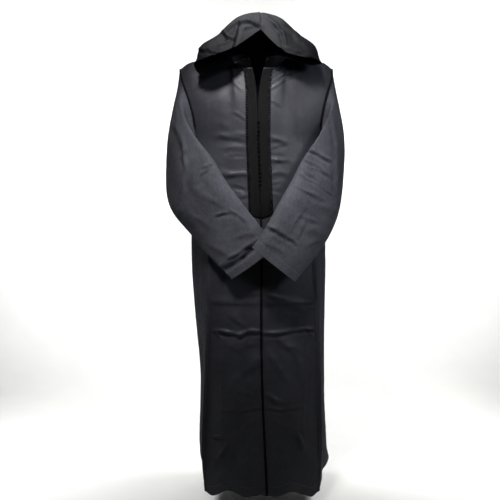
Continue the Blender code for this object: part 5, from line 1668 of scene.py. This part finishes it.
def cut_of(grid, wrap=False):
    """Flat size of a piece's cut: its widest width, its longest length and its area."""
    across = np.linalg.norm(np.diff(grid, axis=1), axis=-1).sum(axis=1)
    if wrap:
        across = across + np.linalg.norm(grid[:, 0] - grid[:, -1], axis=-1)
    up = np.linalg.norm(np.diff(grid, axis=0), axis=-1).sum(axis=0)
    steps = np.cross(grid[1:, :-1] - grid[:-1, :-1], grid[:-1, 1:] - grid[:-1, :-1])
    area = float(np.linalg.norm(steps, axis=-1).sum())
    width, length = round(float(across.max()), 3), round(float(up.max()), 3)
    return width, length, round(min(area, width * length), 3)


def flag_off(lamp, pieces):
    """Keeps a lamp's light off some pieces, which still cast its shadow."""
    shaded = bpy.data.collections.new(lamp.name + " flag")
    for number, piece in enumerate(pieces):
        shaded.objects.link(piece)
        shaded.collection_objects[number].light_linking.link_state = "EXCLUDE"
    lamp.light_linking.receiver_collection = shaded


def studio(hoods):
    """Paper sweep behind and below the robe, soft lamps, the room's light and the camera.

    hoods = the pieces that the flagged lamps are kept off.
    """
    turn = np.linspace(0.1, np.pi / 2, SWEEP_STEPS)
    level = np.linspace(SWEEP_FRONT, SWEEP_BACK, SWEEP_STEPS)
    y = np.concatenate([level, SWEEP_BACK + SWEEP_RADIUS * np.sin(turn)])
    z = np.concatenate([np.full(SWEEP_STEPS, FLOOR), FLOOR + SWEEP_RADIUS * (1 - np.cos(turn))])
    y, z = np.append(y, y[-1])[:, None], np.append(z, SWEEP_TOP)[:, None]
    half = SWEEP_SPREAD * (y - CAMERA_PLACE[1])
    paper = sheet_object("paper_sweep", stack(np.linspace(-1, 1, SWEEP_COLS) * half, y, z), thick=0)
    paper.data.materials.append(matt_paper("pale studio paper", *PAPER_FINISH))
    # White paper isn't mirrored in the near-black cloth, which it would veil with grey
    paper.visible_glossy = False
    for name, place, aim, width, power, spread, tint, flagged in LAMPS:
        lamp = bpy.data.lights.new(name, "AREA")
        lamp.shape = "DISK"
        lamp.size = width
        lamp.energy = power
        lamp.spread = np.radians(spread)
        lamp.color = linear(tint)[:3]
        stand = bpy.data.objects.new(name, lamp)
        stand.location = place
        stand.rotation_euler = (Vector(aim) - Vector(place)).to_track_quat("-Z", "Y").to_euler()
        bpy.context.scene.collection.objects.link(stand)
        if flagged:
            flag_off(stand, hoods)
    world = bpy.data.worlds.new("soft room")
    world.use_nodes = True
    world.node_tree.nodes["Background"].inputs[0].default_value = linear(ROOM_TINT)
    world.node_tree.nodes["Background"].inputs[1].default_value = ROOM_LIGHT
    bpy.context.scene.world = world
    bpy.context.scene.view_settings.view_transform = "Standard"
    lens = bpy.data.cameras.new("camera")
    lens.lens = CAMERA_LENS
    camera = bpy.data.objects.new("camera", lens)
    camera.location = CAMERA_PLACE
    camera.rotation_euler = (np.pi / 2 - CAMERA_TILT, 0.0, 0.0)
    bpy.context.scene.collection.objects.link(camera)
    bpy.context.scene.camera = camera


pieces = dress_robe()
studio([piece for piece in pieces if piece.name.startswith("hood_")])
